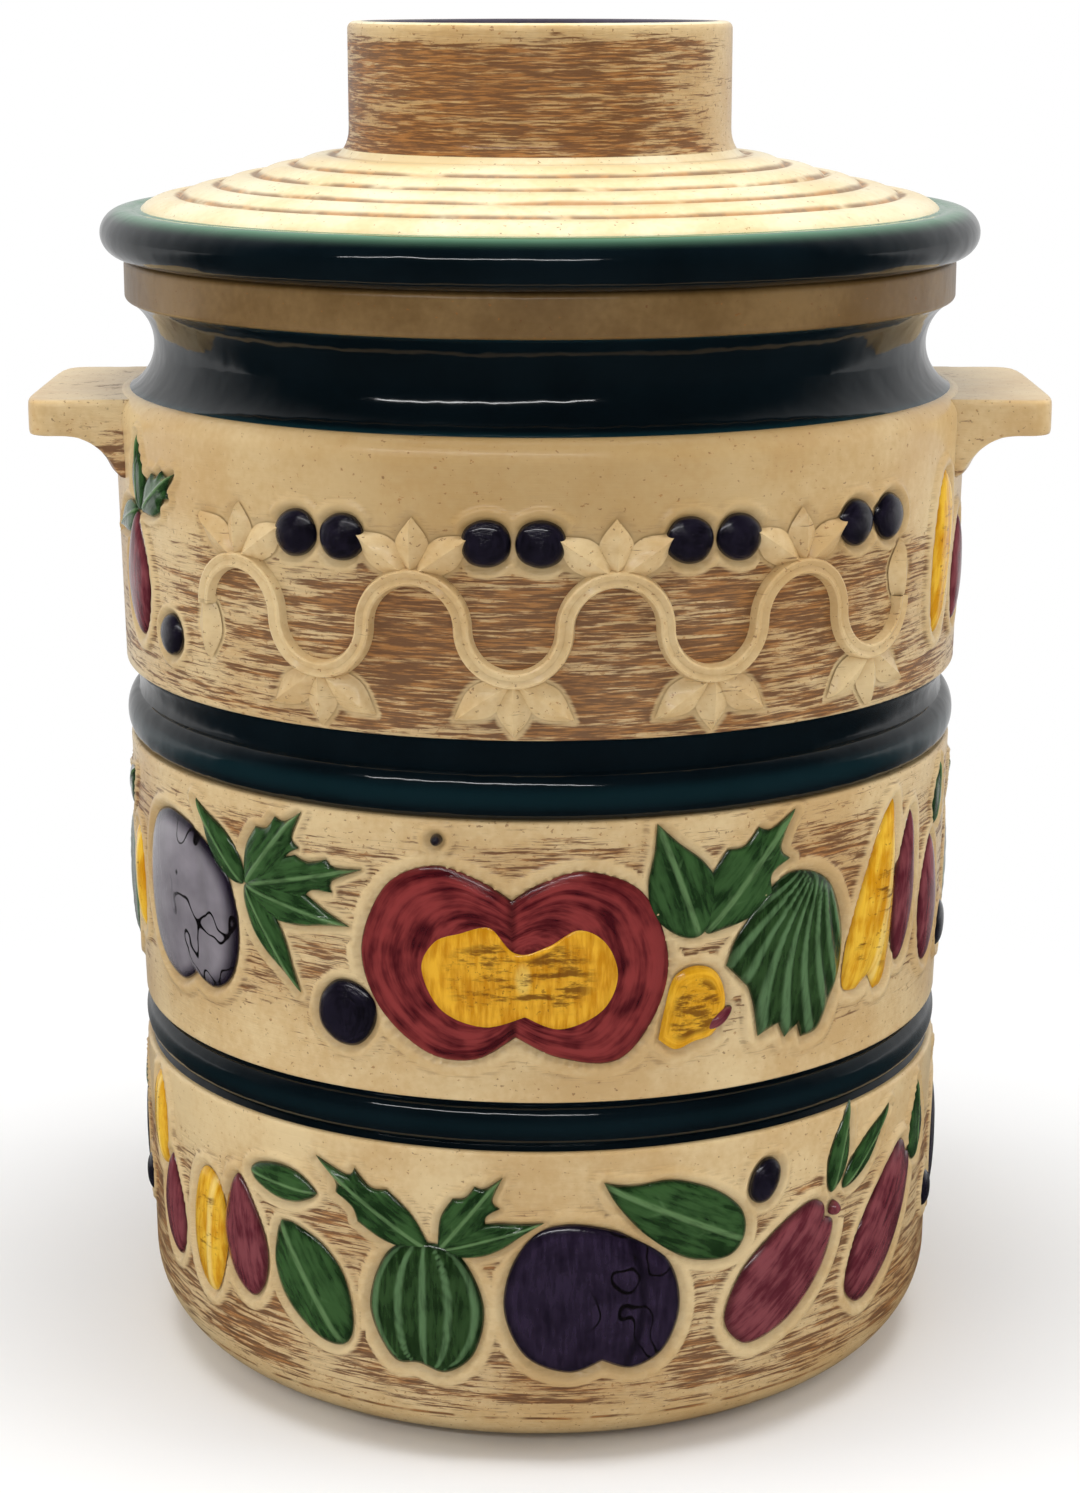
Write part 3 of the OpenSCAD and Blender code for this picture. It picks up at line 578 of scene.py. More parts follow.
# %% Making the motif pieces
PIECES = {
    "plums": (("plum", "twin plum"), "plum_relief"), "apple_halves": (("apple pair",), "apple_relief"),
    "apple_hearts": (("heart pair",), "apple_relief"), "gourds": (("gourd", "gooseberry"), "gourd_relief"),
    "yellow_pods": (("yellow pod", "cut pod"), "yellow_pod_relief"),
    "red_pods": (("red pod", "red fruit", "seed"), "red_pod_relief"),
    "berries": (("berry",), "berry_relief"), "small_pears": (("pear",), "pear_relief"),
    "leaves": (("leaf", "toothed leaf", "blunt leaf", "broad leaf"), "leaf_relief"),
    "scroll_blades": (("blade",), "scroll_relief")}
ornament = {}
for name, (kinds, node) in PIECES.items():
    bm = bmesh.new()
    for layer in ("along", "across", "rim", "rib", "tone"):
        bm.verts.layers.float.new(layer)
    for count, motif in enumerate(m for m in MOTIFS if m[0] in kinds):
        add_motif(bm, *motif, tone=(count * 0.618) % 1)
    rims = [e for e in bm.edges if e.is_boundary]
    bmesh.ops.holes_fill(bm, edges=rims)
    bmesh.ops.recalc_face_normals(bm, faces=bm.faces)
    ornament[name] = finish_mesh(bm, name, 60)
    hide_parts(node)


# %% The running stem of the scroll
def scroll_stem():
    bm = bmesh.new()
    half = STEM / 2
    side = [(half, -0.8), (half, 0), (half - 0.5, SCROLL_H - 0.2), (half - 0.9, SCROLL_H)]
    section = [(-x, h) for x, h in side] + [(0, SCROLL_H - 0.55)] + side[::-1]
    for i in range(BOWS):
        bow_up = 1 if i % 2 == 0 else -1
        points = [bm.verts.new((i * BOW - BOW / 2 + x, 0, h)) for x, h in section]
        edges = [bm.edges.new(pair) for pair in zip(points, points[1:])]
        bmesh.ops.spin(bm, geom=points + edges, cent=(i * BOW, 0, 0), axis=(0, 0, -bow_up),
                       angle=math.pi, steps=28)
    bmesh.ops.remove_doubles(bm, verts=bm.verts, dist=1e-3)
    bmesh.ops.holes_fill(bm, edges=[e for e in bm.edges if e.is_boundary])
    bmesh.ops.recalc_face_normals(bm, faces=bm.faces)
    # The spin leaves its faces in no fixed order, so they are sorted by place.
    bm.faces.sort(key=lambda face: face.calc_center_median().dot((1e6, 1e3, 1)))
    strip = bm.verts[:] + bm.edges[:] + bm.faces[:]
    behind = set(bmesh.ops.duplicate(bm, geom=strip)["geom"])
    for v in bm.verts:
        turn = math.radians(SCROLL_START + (180 if v in behind else 0)) + v.co.x / wall_r("top", SCROLL_Z)
        z = SCROLL_Z + v.co.y
        v.co = Vector(out_from(wall_r("top", z) + v.co.z, turn, z)) * MM
    return finish_mesh(bm, "scroll_stem", 25)


ornament["scroll_stem"] = scroll_stem()
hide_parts("scroll_relief")

# %% [markdown]
# ## Walls
# Each band of the wall is one turned ring with a fine skin. A search tree of all outline
# points gives each wall point its distance to the nearest motif. From that the soft
# border rises round the motif, with a narrow gutter between, and the same distance is
# kept for the material, which leaves the border free of the brown wash.

# %% Outline points of the motifs
FAR = 9.0  # a distance that no border reaches
PLAIN_BORDER, NEIGHBOUR = 3.0, 60
BORDER = {"berry": 2.1, "leaf": 1.7, "toothed leaf": 1.6, "blunt leaf": 2, "broad leaf": 2.2,
          "blade": 0.7, "seed": 1}


def inside(point, loop):
    """Whether a flat point lies within a closed loop of points."""
    x, y = point
    a, b = loop, np.roll(loop, -1, axis=0)
    cross = (a[:, 1] > y) != (b[:, 1] > y)
    run = (b[:, 0] - a[:, 0]) * (y - a[:, 1]) / np.where(cross, b[:, 1] - a[:, 1], 1) + a[:, 0]
    return np.count_nonzero(cross & (x < run)) % 2 == 1


def border_tree(band):
    """A search tree of the outline points on a band, each with its outward way and border width."""
    loops = []
    for kind, where, turn, z, length, width, lean in MOTIFS:
        if where == band:
            flat = [on_wall(band, turn, z, p.x, p.y, lean) for p in outline(kind, length, width, 90)]
            loop = np.array([(t * wall_r(band, z), h) for t, h in flat])
            loops.append((loop, BORDER.get(kind, PLAIN_BORDER)))
    kept = []
    radius = (BANDS[band][2] + BANDS[band][3]) / 2
    for k, (loop, width) in enumerate(loops):
        near = [other for j, (other, _) in enumerate(loops) if j != k
                and np.abs(other.mean(0) - loop.mean(0)).max() < NEIGHBOUR]
        way = np.roll(loop, -1, axis=0) - np.roll(loop, 1, axis=0)
        spin = np.sum(loop[:, 0] * np.roll(loop[:, 1], -1) - np.roll(loop[:, 0], -1) * loop[:, 1])
        out = np.column_stack([way[:, 1], -way[:, 0]]) * np.sign(spin)
        for point, normal in zip(loop, out):
            if not any(inside(point, other) for other in near):
                kept.append((point[0] / radius, point[1], normal, width, k))
    tree = kdtree.KDTree(len(kept))
    for k, (t, z, *_) in enumerate(kept):
        tree.insert(out_from(wall_r(band, z), t, z), k)
    tree.balance()
    print(band, "border points", len(kept))
    return tree, kept


def smooth(t):
    t = np.clip(t, 0, 1)
    return t * t * (3 - 2 * t)


# %% Wall pieces
# The mesh size of the skin, its depth, the height of a border, the depth of the gutter
# round a motif, and how far from an outline the wall is still asked about.
SKIN, SKIN_DEEP, RAISED, GUTTER, REACH = 0.7, 1.2, 0.85, 0.45, 12


def covered(place, turn, found, kept):
    """Whether a wall point lies within the motif of any of the outline points found near it."""
    asked = set()
    for _, index, _ in found:
        t, z, normal, _, motif = kept[index]
        if motif not in asked:
            asked.add(motif)
            step = (turn - t + math.pi) % TAU - math.pi
            if normal[0] * step * math.hypot(place[0], place[1]) + normal[1] * (place[2] - z) < 0:
                return True
    return False


def wall_piece(band, line, back, density, steps=840):
    """A ring of wall with a fine skin, raised round its motifs."""
    piece = turned(band + "_wall", line + back, steps)
    tree, kept = border_tree(band)
    co = places(piece)
    radius = np.hypot(co[:, 0], co[:, 1])
    turn = np.arctan2(co[:, 0], -co[:, 1])
    plain = np.array([wall_r(band, z) for z in co[:, 2]])
    beyond = np.full(len(co), FAR)
    lift = np.zeros(len(co))
    for i in np.nonzero(radius > plain - SKIN_DEEP)[0]:
        where, k, gap = tree.find(co[i])
        if gap > REACH:
            continue
        width = kept[k][3]
        near = tree.find_n(co[i], 12) if gap < 2.5 else [(where, k, gap)]
        within = covered(co[i], turn[i], near, kept)
        beyond[i] = -width if within else gap - width
        raised = RAISED * smooth((width + 0.9 - gap) / 1.3) if width > 1 else 0
        lift[i] = -GUTTER if within else (raised + GUTTER) * smooth((gap - 0.3) / 1.1) - GUTTER
    near_edge = smooth((co[:, 2] - line[0][1]) / 2) * smooth((line[-1][1] - co[:, 2]) / 2)
    scale = (radius + lift * near_edge) / np.maximum(radius, 1)
    co[:, :2] *= scale[:, None]
    piece.data.vertices.foreach_set("co", (co * MM).ravel())
    note(piece, "beyond", np.clip(beyond, -3, FAR))
    note(piece, "wash_share", density(co[:, 2], np.degrees(turn)))
    note(piece, "film", film(co[:, 2], np.degrees(turn)))
    piece.data.update()
    return piece


def film(z, turn):
    """Share of a darker tan tint, most of it high on the top band, front and back."""
    return smooth(share_of("top", z) * 2.2 - 0.9) * smooth(1.1 - np.abs(np.sin(np.radians(turn))) * 1.1)


def top_density(z, turn):
    """Share of wash on the top band: most on its lower half, front and back."""
    share = share_of("top", z)
    lower = smooth((share + 0.06) / 0.1) * (1 - smooth((share - 0.5) / 0.34))
    side = 0.82 + 0.18 * np.cos(np.radians(2 * (turn - 5)))
    return 0.12 + 0.78 * lower * side


def middle_density(z, turn):
    share = share_of("middle", z)
    return 0.2 + 0.5 * smooth(share / 0.4) * (1 - 0.6 * smooth((share - 0.86) / 0.1))


# The wash thins out where the wall curves in to the foot; that paler foot is a painted reflection of the
# floor.
def low_density(z, turn):
    share = share_of("low", z)
    return 0.16 + 0.6 * smooth((share + 0.34) / 0.3) * (1 - smooth((share - 0.62) / 0.22))


def band_line(band, edge=0.8):
    """The outside of a band with a small round at head and foot."""
    z0, z1, r0, r1 = BANDS[band]
    foot = arc(r0 - edge, z0 + edge, edge, edge, -90, 0, 4)
    return fine(foot + arc(r1 - edge, z1 - edge, edge, edge, 0, 90, 4), SKIN)


low_line = [(FOOT_R - 2, 0)] + arc(FOOT_R, 20, 19.7, 20, -90, 0, 24) + arc(91.6, 70.7, 0.8, 0.8, 0, 90, 4)
low_back = [(89.4, 71.5), (89.2, 22), (83.5, 9.5), (FOOT_R - 1, 3.2)]
top_line = band_line("top")[:-4] + arc(NECK_R, 216.5, 3.4, 5, 0, 90, 9)
walls = [
    wall_piece("low", fine(low_line, 0.78), low_back, low_density, 790),
    wall_piece("middle", band_line("middle"), [(90.6, 143.5), (90.6, 82.5)], middle_density),
    wall_piece("top", fine(top_line, SKIN), [(91.2, 221.5), (91.2, 160.5)], top_density)]

# %% [markdown]
# ## Ridges, neck and mouth
# Between the bands run rounded ridges under a dark glaze. Where such a glaze runs thin
# over an edge it breaks to a lighter green. Each point keeps how thin the glaze is,
# worked out from how far the line bulges there.

# %% Glazed rings
def glazed_ring(name, line, back, thin):
    """A turned ring; thin is a rule that gives the share of thin glaze at a radius and height."""
    piece = turned(name, fine(line, 0.5) + back, 384)
    note(piece, "thin", [thin(math.hypot(x, y), z) for x, y, z in places(piece)])
    return piece


low_ridge = glazed_ring(
    "low_ridge", [(91.2, 71.4)] + arc(89.6, 77, 2.8, 4.5, -75, 75, 20) + [(91.2, 82.6)],
    [(89.4, 82.6), (89.4, 71.4)],
    lambda r, z: smooth((r - 92.0) / 1.2) * 0.6)
bead_r = BANDS["middle"][3] - 2.8 + 0.6
mid_ridge = glazed_ring(
    "middle_ridge", [(91.6, 143.3)] + arc(bead_r, 148.5, 2.8, 5, -84, 80, 22)
    + cove((bead_r + 0.3, 153.5), (93.8, 160.7), 1.0, 10), [(90.2, 160.7), (90.2, 143.3)],
    lambda r, z: smooth((r - 93.9) / 0.9) * 0.5)
neck = glazed_ring(
    "neck", cove((NECK_R + 0.6, NECK0 - 0.4), (MOUTH_OUT - 1.0, NECK1 + 0.2), NECK_SAG, 28),
    [(84, NECK1 + 0.2), (84, NECK0 - 0.4)], lambda r, z: smooth((r - 90.2) / 1.6) * 0.7)

# %% Mouth band, inside and foot
# The line ends inside the clay, between the inner face and the backs of the walls.
core_line = (
    [(MOUTH_OUT - 1.4, NECK1)] + arc(MOUTH_OUT - 1.2, NECK1 + 1.4, 1.2, 1.2, -70, 0, 5)
    + arc(MOUTH_OUT - 1.6, MOUTH - 1.6, 1.6, 1.6, 0, 90, 7)
    + arc(MOUTH_IN + 1.6, MOUTH - 1.6, 1.6, 1.6, 90, 180, 7)
    + [(MOUTH_IN, 221.5), (89.4, 206.5), (85.7, 20)]
    + arc(FOOT_R - WALL, 20, 19.7, 12, 0, -90, 16) + [(0, FLOOR), (0, FOOT_RECESS)]
    + arc(FOOT_R - FOOT_W - 4, FOOT_RECESS - 1.2, 1.2, 1.2, 90, 0, 5)
    + arc(FOOT_R - FOOT_W, 1, 1.2, 1, 180, 270, 5)
    + [(FOOT_R - 2, 0)] + arc(FOOT_R - WALL / 2, 20, 18.9, 16, -80, 0, 8)
    + [(91, 206.5), (83.2, 222), (83.2, NECK1)])
core = turned("mouth_and_inside", core_line)

# %% [markdown]
# ## Lugs
# A lug is a flat tongue of clay that is pressed on and smoothed with a wet finger. The
# construction model has its sharp shape. Here a copy of that mesh is merged, its root is
# pushed into the wall, and a voxel remesh and some smoothing round every edge as wet
# clay and glaze do.

# %% Rounded lugs
# What lies within ROOT_R is the root; it goes ROOT_IN deeper. The soft skin stands a little
# proud, so the tops start LOWERED metres down.
ROOT_R, ROOT_IN, LOWERED = 96.2, 3.5, 0.0002


def lug(name):
    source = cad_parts[name]
    bm = bmesh.new()
    bm.from_mesh(source.data)
    bmesh.ops.remove_doubles(bm, verts=bm.verts, dist=2e-6)
    for v in bm.verts:
        r = math.hypot(v.co.x, v.co.y) / MM
        if r < ROOT_R:
            v.co.xy *= (r - ROOT_IN) / r
        elif v.co.z > 0.2:
            v.co.z -= LOWERED
    mesh = bpy.data.meshes.new(name)
    bm.to_mesh(mesh)
    bm.free()
    shell = bpy.data.objects.new("lug", mesh)
    bpy.context.collection.objects.link(shell)
    remesh = shell.modifiers.new("even", "REMESH")
    remesh.mode, remesh.voxel_size = "VOXEL", 0.0006
    soften = shell.modifiers.new("soft", "SMOOTH")
    soften.factor, soften.iterations = 0.5, 9
    ready = bpy.data.meshes.new_from_object(shell.evaluated_get(bpy.context.evaluated_depsgraph_get()))
    bpy.data.objects.remove(shell)
    bm = bmesh.new()
    bm.from_mesh(ready)
    piece = finish_mesh(bm, name.replace("handle", "lug"), 80)
    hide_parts(name)
    return piece


lugs = [lug("handle_left"), lug("handle_right")]
for piece, dirt in zip(lugs, (0.34, 0.18)):
    co = places(piece)
    root = np.hypot(co[:, 0], co[:, 1])
    shade = 1 - smooth((root - 96) / 12)
    under = 1 - smooth((co[:, 2] - 204) / 8)
    note(piece, "wash_share", dirt + 0.6 * shade * (0.35 + 0.65 * under))
    note(piece, "beyond", np.full(len(co), FAR))
    note(piece, "film", np.zeros(len(co)))

# %% [markdown]
# ## Lid
# The lid is thrown too: a low cone cut into rounded terraces, with an open ring to grip,
# a rolled rim under dark glaze and, below, a ring that locates it in the mouth. The cone
# and the rim are separate pieces here, because their glazes differ.

# %% Cone, ring grip and underside
RIM_C = RIM_R - RIM_W / 2
CONE_R0 = RIM_R - 0.84 * RIM_W
CONE_R1 = COLLAR_R + 4
TERRACES, PILLOW = 5, 1.3


def terrace(k):
    """One pillow of clay between two grooves."""
    r0, r1 = (CONE_R0 + (CONE_R1 - CONE_R0) * (k + i) / TERRACES for i in (0, 1))
    z0, z1 = (CONE0 + (CONE1 - CONE0) * (k + i) / TERRACES for i in (0, 1))
    share = np.linspace(0, 1, 13)[:-1]
    return [(r0 + (r1 - r0) * s, z0 + (z1 - z0) * s + PILLOW * math.sin(math.pi * s) ** 0.7) for s in share]


locate_r = MOUTH_IN - 1.6
inner = COLLAR_R - COLLAR_WALL
lid_line = (
    [(RIM_C, MOUTH + 0.2), (RIM_C, MOUTH + 4), (CONE_R0, CONE0)]
    + sum((terrace(k) for k in range(TERRACES)), [])
    + arc(COLLAR_R + 4, CONE1 + 6, 4, 6, 270, 180, 8)
    + fine([(COLLAR_R, CONE1 + 6.5), (COLLAR_R, TOP - 1.8)], 3)
    + arc(COLLAR_R - 1.6, TOP - 1.6, 1.6, 1.6, 5, 90, 6)
    + arc(inner + 1.4, TOP - 1.4, 1.4, 1.4, 90, 175, 6) + fine([(inner, TOP - 3), (inner, CONE1 + 5)], 4)
    + arc(inner - 5, CONE1 + 5, 5, 5, 0, -90, 8) + [(12, CONE1 + 0.1), (0, CONE1)]
    + [(0, CONE1 - 5.5), (CONE_R1, CONE1 - 5.5), (locate_r - 4.5, MOUTH + 2.75), (locate_r - 4.5, MOUTH - 7)]
    + arc(locate_r - 3.5, MOUTH - 7, 1, 1, 180, 270, 4)
    + arc(locate_r - 1, MOUTH - 7, 1, 1, 270, 360, 4) + [(locate_r, MOUTH + 0.2)])
lid_body = turned("lid_cone_and_grip", lid_line, 320)
co = places(lid_body)
turn = np.degrees(np.arctan2(co[:, 0], -co[:, 1]))
pale = 1 - smooth(np.abs(turn - 80) / 52)
lip = smooth((co[:, 2] - TOP + 4) / 3)
note(lid_body, "wash_share", (0.9 - 0.55 * pale) * (1 - 0.6 * lip))
note(lid_body, "film", 0.35 * (1 - pale))
note(lid_body, "beyond", np.full(len(co), FAR))
note(lid_body, "thin", np.zeros(len(co)))

# %% Rolled rim
lid_rim = glazed_ring(
    "lid_rim", arc(RIM_C, MOUTH + RIM_H / 2, RIM_W / 2, RIM_H / 2 - 0.05, -90, 112, 30)
    + [(CONE_R0 + 0.4, CONE0 - 0.15), (CONE_R0 - 1.0, CONE0 - 0.6)],
    [(CONE_R0 - 1.0, MOUTH + 3), (RIM_C - 3, MOUTH + 0.2)],
    lambda r, z: smooth((RIM_C + 4.6 - r) / 3.8) if z > MOUTH + 6 else 0)


# %% [markdown]
# ## Glazes
# The effects that several glazes share are node groups. Three come first: the brown wash
# that is brushed on and wiped back, so it stays in streaks; the faint mottling of a thick
# glaze; and the brush strokes of hand-painted colour. The kinds of glaze built on them are
# groups too.

# %% Making and using a group
SOCKETS = {"Place": "Vector", "Color": "Color", "Pale": "Color", "Warm": "Color", "Deep": "Color",
           "Thin": "Color", "Dark": "Color", "Light": "Color", "Rib": "Color"}


def new_group(name, ins, outs):
    """A node group with its sockets; those not named in SOCKETS hold a number."""
    group = bpy.data.node_groups.new(name, "ShaderNodeTree")
    for way, labels in (("INPUT", ins), ("OUTPUT", outs)):
        for label in labels.split():
            kind = "NodeSocket" + SOCKETS.get(label, "Float")
            group.interface.new_socket(label, in_out=way, socket_type=kind)
    return group, group.nodes.new("NodeGroupInput").outputs, group.nodes.new("NodeGroupOutput").inputs


def use(tree, group, **inputs):
    """Places a group in a tree and feeds its inputs; gives its outputs."""
    made = tree.nodes.new("ShaderNodeGroup")
    made.node_tree = group
    for key, value in inputs.items():
        feed(tree, made.inputs[key], value)
    return made.outputs


# %% Group: brown wash in streaks
wash, given, put = new_group("brown wash", "Place Density Stretch", "Mask Relief Tone")
split = add(wash, "SeparateXYZ", None, Vector=given["Place"])
tall = times(wash, split.outputs["Z"], given["Stretch"])
long = add(wash, "CombineXYZ", None, X=split.outputs["X"], Y=split.outputs["Y"], Z=tall).outputs[0]
streak = noise(wash, long, 0.05, 6, 0.7)
hair = noise(wash, long, 0.15, 4, 0.62)
blotch = noise(wash, scaled(wash, given["Place"], 1, 1, 1.6), 0.05, 2, 0.5)
body = calc(wash, "ADD", times(wash, streak, 0.62), times(wash, hair, 0.38))
bar = calc(wash, "MULTIPLY_ADD", given["Density"], -0.34, 0.76)
bar = calc(wash, "MULTIPLY_ADD", blotch, -0.22, calc(wash, "ADD", bar, 0.09))
over = calc(wash, "SUBTRACT", body, bar)
marks = fade(wash, over, -0.035, 0.05)
speck = noise(wash, scaled(wash, given["Place"], 1, 1, 1.3), 0.85, 2, 0.6)
dots = fade(wash, calc(wash, "MULTIPLY_ADD", given["Density"], 0.1, speck), 0.68, 0.73)
stain = times(wash, fade(wash, given["Density"], 0.35, 1.0), fade(wash, over, -0.16, 0.02))
marks = calc(wash, "MAXIMUM", marks, times(wash, stain, 0.34))
feed(wash, put["Mask"], calc(wash, "MAXIMUM", marks, times(wash, dots, 0.7)))
feed(wash, put["Relief"], times(wash, over, -1.0))
feed(wash, put["Tone"], hair)

# %% Group: mottled glaze
mottle, given, put = new_group("mottled glaze", "Place", "Patch Ripple")
cloud = noise(mottle, given["Place"], 0.035, 3, 0.55)
grain = noise(mottle, given["Place"], 0.6, 2, 0.5)
feed(mottle, put["Patch"], calc(mottle, "MULTIPLY_ADD", grain, 0.25, times(mottle, cloud, 0.85)))
feed(mottle, put["Ripple"], noise(mottle, given["Place"], 0.11, 2, 0.4))

# %% Group: brush strokes on a motif
strokes, given, put = new_group("brush strokes", "Around", "Stroke Broad")
across, along, rim_share, tone = (fact(strokes, key) for key in ("across", "along", "rim", "tone"))
shift = times(strokes, tone, 40.0)
ways = add(strokes, "CombineXYZ", None, X=across, Y=along, Z=shift).outputs[0]
ring = add(strokes, "VectorMath", {"operation": "NORMALIZE"},
           _0=add(strokes, "CombineXYZ", None, X=across, Y=along).outputs[0])
rise = add(strokes, "CombineXYZ", None, Z=calc(strokes, "MULTIPLY_ADD", rim_share, 9.0, shift))
ring = add(strokes, "VectorMath", {"operation": "ADD"}, _0=ring.outputs[0], _1=rise.outputs[0])
swirl = noise(strokes, ring.outputs[0], 1.5, 4, 0.6)
straight = noise(strokes, scaled(strokes, ways, 1.0, 0.16, 1.0), 0.8, 4, 0.6)
feed(strokes, put["Stroke"], add(strokes, "Mix", None, _0=given["Around"], _2=straight, _3=swirl).outputs[0])
feed(strokes, put["Broad"], noise(strokes, ways, 0.14, 2, 0.5))


def surface(tree, shader, tint, rough, height, distance, strength=1.0, coat=(0.0, 0.03)):
    """Feeds a shader its colour, roughness and bump; coat is the clear coat's weight and roughness."""
    feed(tree, shader.inputs["Base Color"], tint)
    feed(tree, shader.inputs["Roughness"], rough)
    made = add(tree, "Bump", None, Height=height, Distance=distance, Strength=strength)
    tree.links.new(made.outputs[0], shader.inputs["Normal"])
    shader.inputs["Coat Weight"].default_value = coat[0]
    shader.inputs["Coat Roughness"].default_value = coat[1]


# %% [markdown]
# ## Cream glaze over brushed wash
# The clay is brushed with brown, wiped, and covered with a satin cream glaze. The wash
# stays in low places and brush furrows, so its mask also drives the bump. It keeps off
# the raised border of a motif and pools just outside it, in a dark ring that is partly
# painted shade of the relief.

# %% Group: cream over wash
BROWN, BROWN_DEEP, FILM = colour("a76a2a"), colour("653610"), colour("b08c55")
cream, given, put = new_group("cream over wash", "Place Density Stretch Beyond Film Lines Pale Warm",
                              "Color Mask Height")
patch = use(cream, mottle, Place=given["Place"])
brown = use(cream, wash, Place=given["Place"], Density=given["Density"], Stretch=given["Stretch"])
ragged = calc(cream, "MULTIPLY_ADD", brown["Tone"], 1.6, given["Beyond"])
# A ring of wash just outside each raised border, partly painted shade of the relief.
edge_pool_and_shade = fade(cream, away(cream, ragged, 1.7), 1.1, 0.2)
edge_pool_and_shade = times(cream, edge_pool_and_shade, fade(cream, brown["Tone"], 0.46, 0.6))
mask = calc(cream, "MAXIMUM", brown["Mask"], times(cream, edge_pool_and_shade, given["Density"]))
mask = times(cream, mask, fade(cream, ragged, 0.55, 1.5))
mask = calc(cream, "MAXIMUM", mask, given["Lines"])
ground = mix(cream, fade(cream, patch["Patch"], 0.38, 0.72), given["Pale"], given["Warm"])
ground = mix(cream, times(cream, given["Film"], 0.7), ground, FILM)
stain = mix(cream, fade(cream, brown["Tone"], 0.4, 0.56), BROWN, BROWN_DEEP)
feed(cream, put["Color"], mix(cream, times(cream, mask, 0.88), ground, stain))
feed(cream, put["Mask"], mask)
furrow = times(cream, brown["Relief"], given["Density"])
feed(cream, put["Height"], calc(cream, "MULTIPLY_ADD", furrow, 2.0, patch["Ripple"]))


# %% Cream materials
def cream_glaze(name, density, stretch=15.0, lines=None, ground=("dfc595", "cba873"), coat=0.22):
    """Cream glaze with wash. density is a number or the name of a kept one; lines adds painted lines."""
    made, tree, shader = material(name)
    place = object_mm(tree)
    kept = isinstance(density, str)
    look = use(tree, cream, Place=place, Stretch=stretch, Density=fact(tree, density) if kept else density,
               Beyond=fact(tree, "beyond") if kept else FAR, Film=fact(tree, "film") if kept else 0.0,
               Lines=lines(tree, place) if lines else 0.0, Pale=colour(ground[0]), Warm=colour(ground[1]))
    rough = calc(tree, "MULTIPLY_ADD", look["Mask"], 0.2, 0.3)
    surface(tree, shader, look["Color"], rough, look["Height"], 0.0006, 0.7, (coat, 0.12))
    return made


def radius_of(tree, place):
    """How far a place is from the pot's axis."""
    flat = scaled(tree, place, 1, 1, 0)
    return add(tree, "VectorMath", {"operation": "LENGTH"}, _0=flat).outputs["Value"]


FOOT_LINE = 10.4


def foot_line(tree, place):
    """A thin line of wash that runs round the foot."""
    height = add(tree, "SeparateXYZ", None, Vector=place).outputs["Z"]
    wobble = calc(tree, "MULTIPLY_ADD", noise(tree, place, 0.07, 2), 1.6, height)
    line = fade(tree, away(tree, wobble, FOOT_LINE), 0.6, 0.2)
    return times(tree, line, fade(tree, noise(tree, place, 0.12, 3), 0.4, 0.55))


def groove_lines(tree, place):
    """Brown in the grooves between the terraces, broken by noise."""
    tread = (CONE_R0 - CONE_R1) / TERRACES
    share = calc(tree, "DIVIDE", calc(tree, "SUBTRACT", CONE_R0, radius_of(tree, place)), tread)
    wobble = calc(tree, "MULTIPLY_ADD", noise(tree, place, 0.06, 2), 0.16, calc(tree, "ADD", share, 0.42))
    saw = away(tree, calc(tree, "FRACT", wobble), 0.5)
    broken = fade(tree, noise(tree, scaled(tree, place, 1, 1, 3), 0.09, 3), 0.24, 0.46)
    line = times(tree, fade(tree, saw, 0.2, 0.05), fade(tree, share, 0.4, 0.6))
    return times(tree, times(tree, line, 0.85), broken)


wall_glaze = cream_glaze("wall_glaze", "wash_share", 15.0, foot_line)
lug_glaze = cream_glaze("lug_glaze", "wash_share", 5.0)
scroll_glaze = cream_glaze("scroll_glaze", 0.3)
cone_glaze = cream_glaze("cone_glaze", 0.1, 2.0, groove_lines, ("f2e4bf", "e4cd9b"))
grip_glaze = cream_glaze("grip_glaze", "wash_share", 16.0)
# The mouth band's tan ground is darkened here as painted shadow of the lid's rim above it.
mouth_glaze_and_shadow = cream_glaze("mouth_glaze_and_shadow", 0.05, ground=("846840", "6d522d"), coat=0.0)

# %% Group: dark glaze that breaks where it is thin
broken, given, put = new_group("breaking glaze", "Deep Thin", "Color Patch Ripple")
patch = use(broken, mottle, Place=object_mm(broken))
lighter = scaled(broken, given["Deep"], 1.9, 1.9, 1.9)
shade = mix(broken, fade(broken, patch["Patch"], 0.3, 0.75), given["Deep"], lighter)
feed(broken, put["Color"], mix(broken, fact(broken, "thin"), shade, given["Thin"]))
feed(broken, put["Patch"], patch["Patch"])
feed(broken, put["Ripple"], patch["Ripple"])

# %% Dark glazes
DARK = colour("050c10")


def dark_glaze(name, deep, thin, rough=0.04):
    """Glossy glaze, deep where it is thick; rough is its least roughness."""
    made, tree, shader = material(name)
    look = use(tree, broken, Deep=deep, Thin=thin)
    uneven = calc(tree, "MULTIPLY_ADD", look["Patch"], 0.08, rough)
    surface(tree, shader, look["Color"], uneven, look["Ripple"], 0.0006, 0.5)
    return made


ridge_glaze = dark_glaze("ridge_glaze", DARK, colour("123238"))
rim_glaze = dark_glaze("rim_glaze", DARK, colour("487a5b"))
# Inside the ring grip the glaze is a dark violet-grey, partly painted shade of the deep recess.
recess_glaze_and_shade = dark_glaze("recess_glaze_and_shade", colour("3a3540"), colour("5a5560"), 0.16)

# %% [markdown]
# ## Painted colours
# Each fruit is painted by hand in one or two strokes under a clear glaze, so the colour
# is streaky, thinner on ribs and darker round the rim.

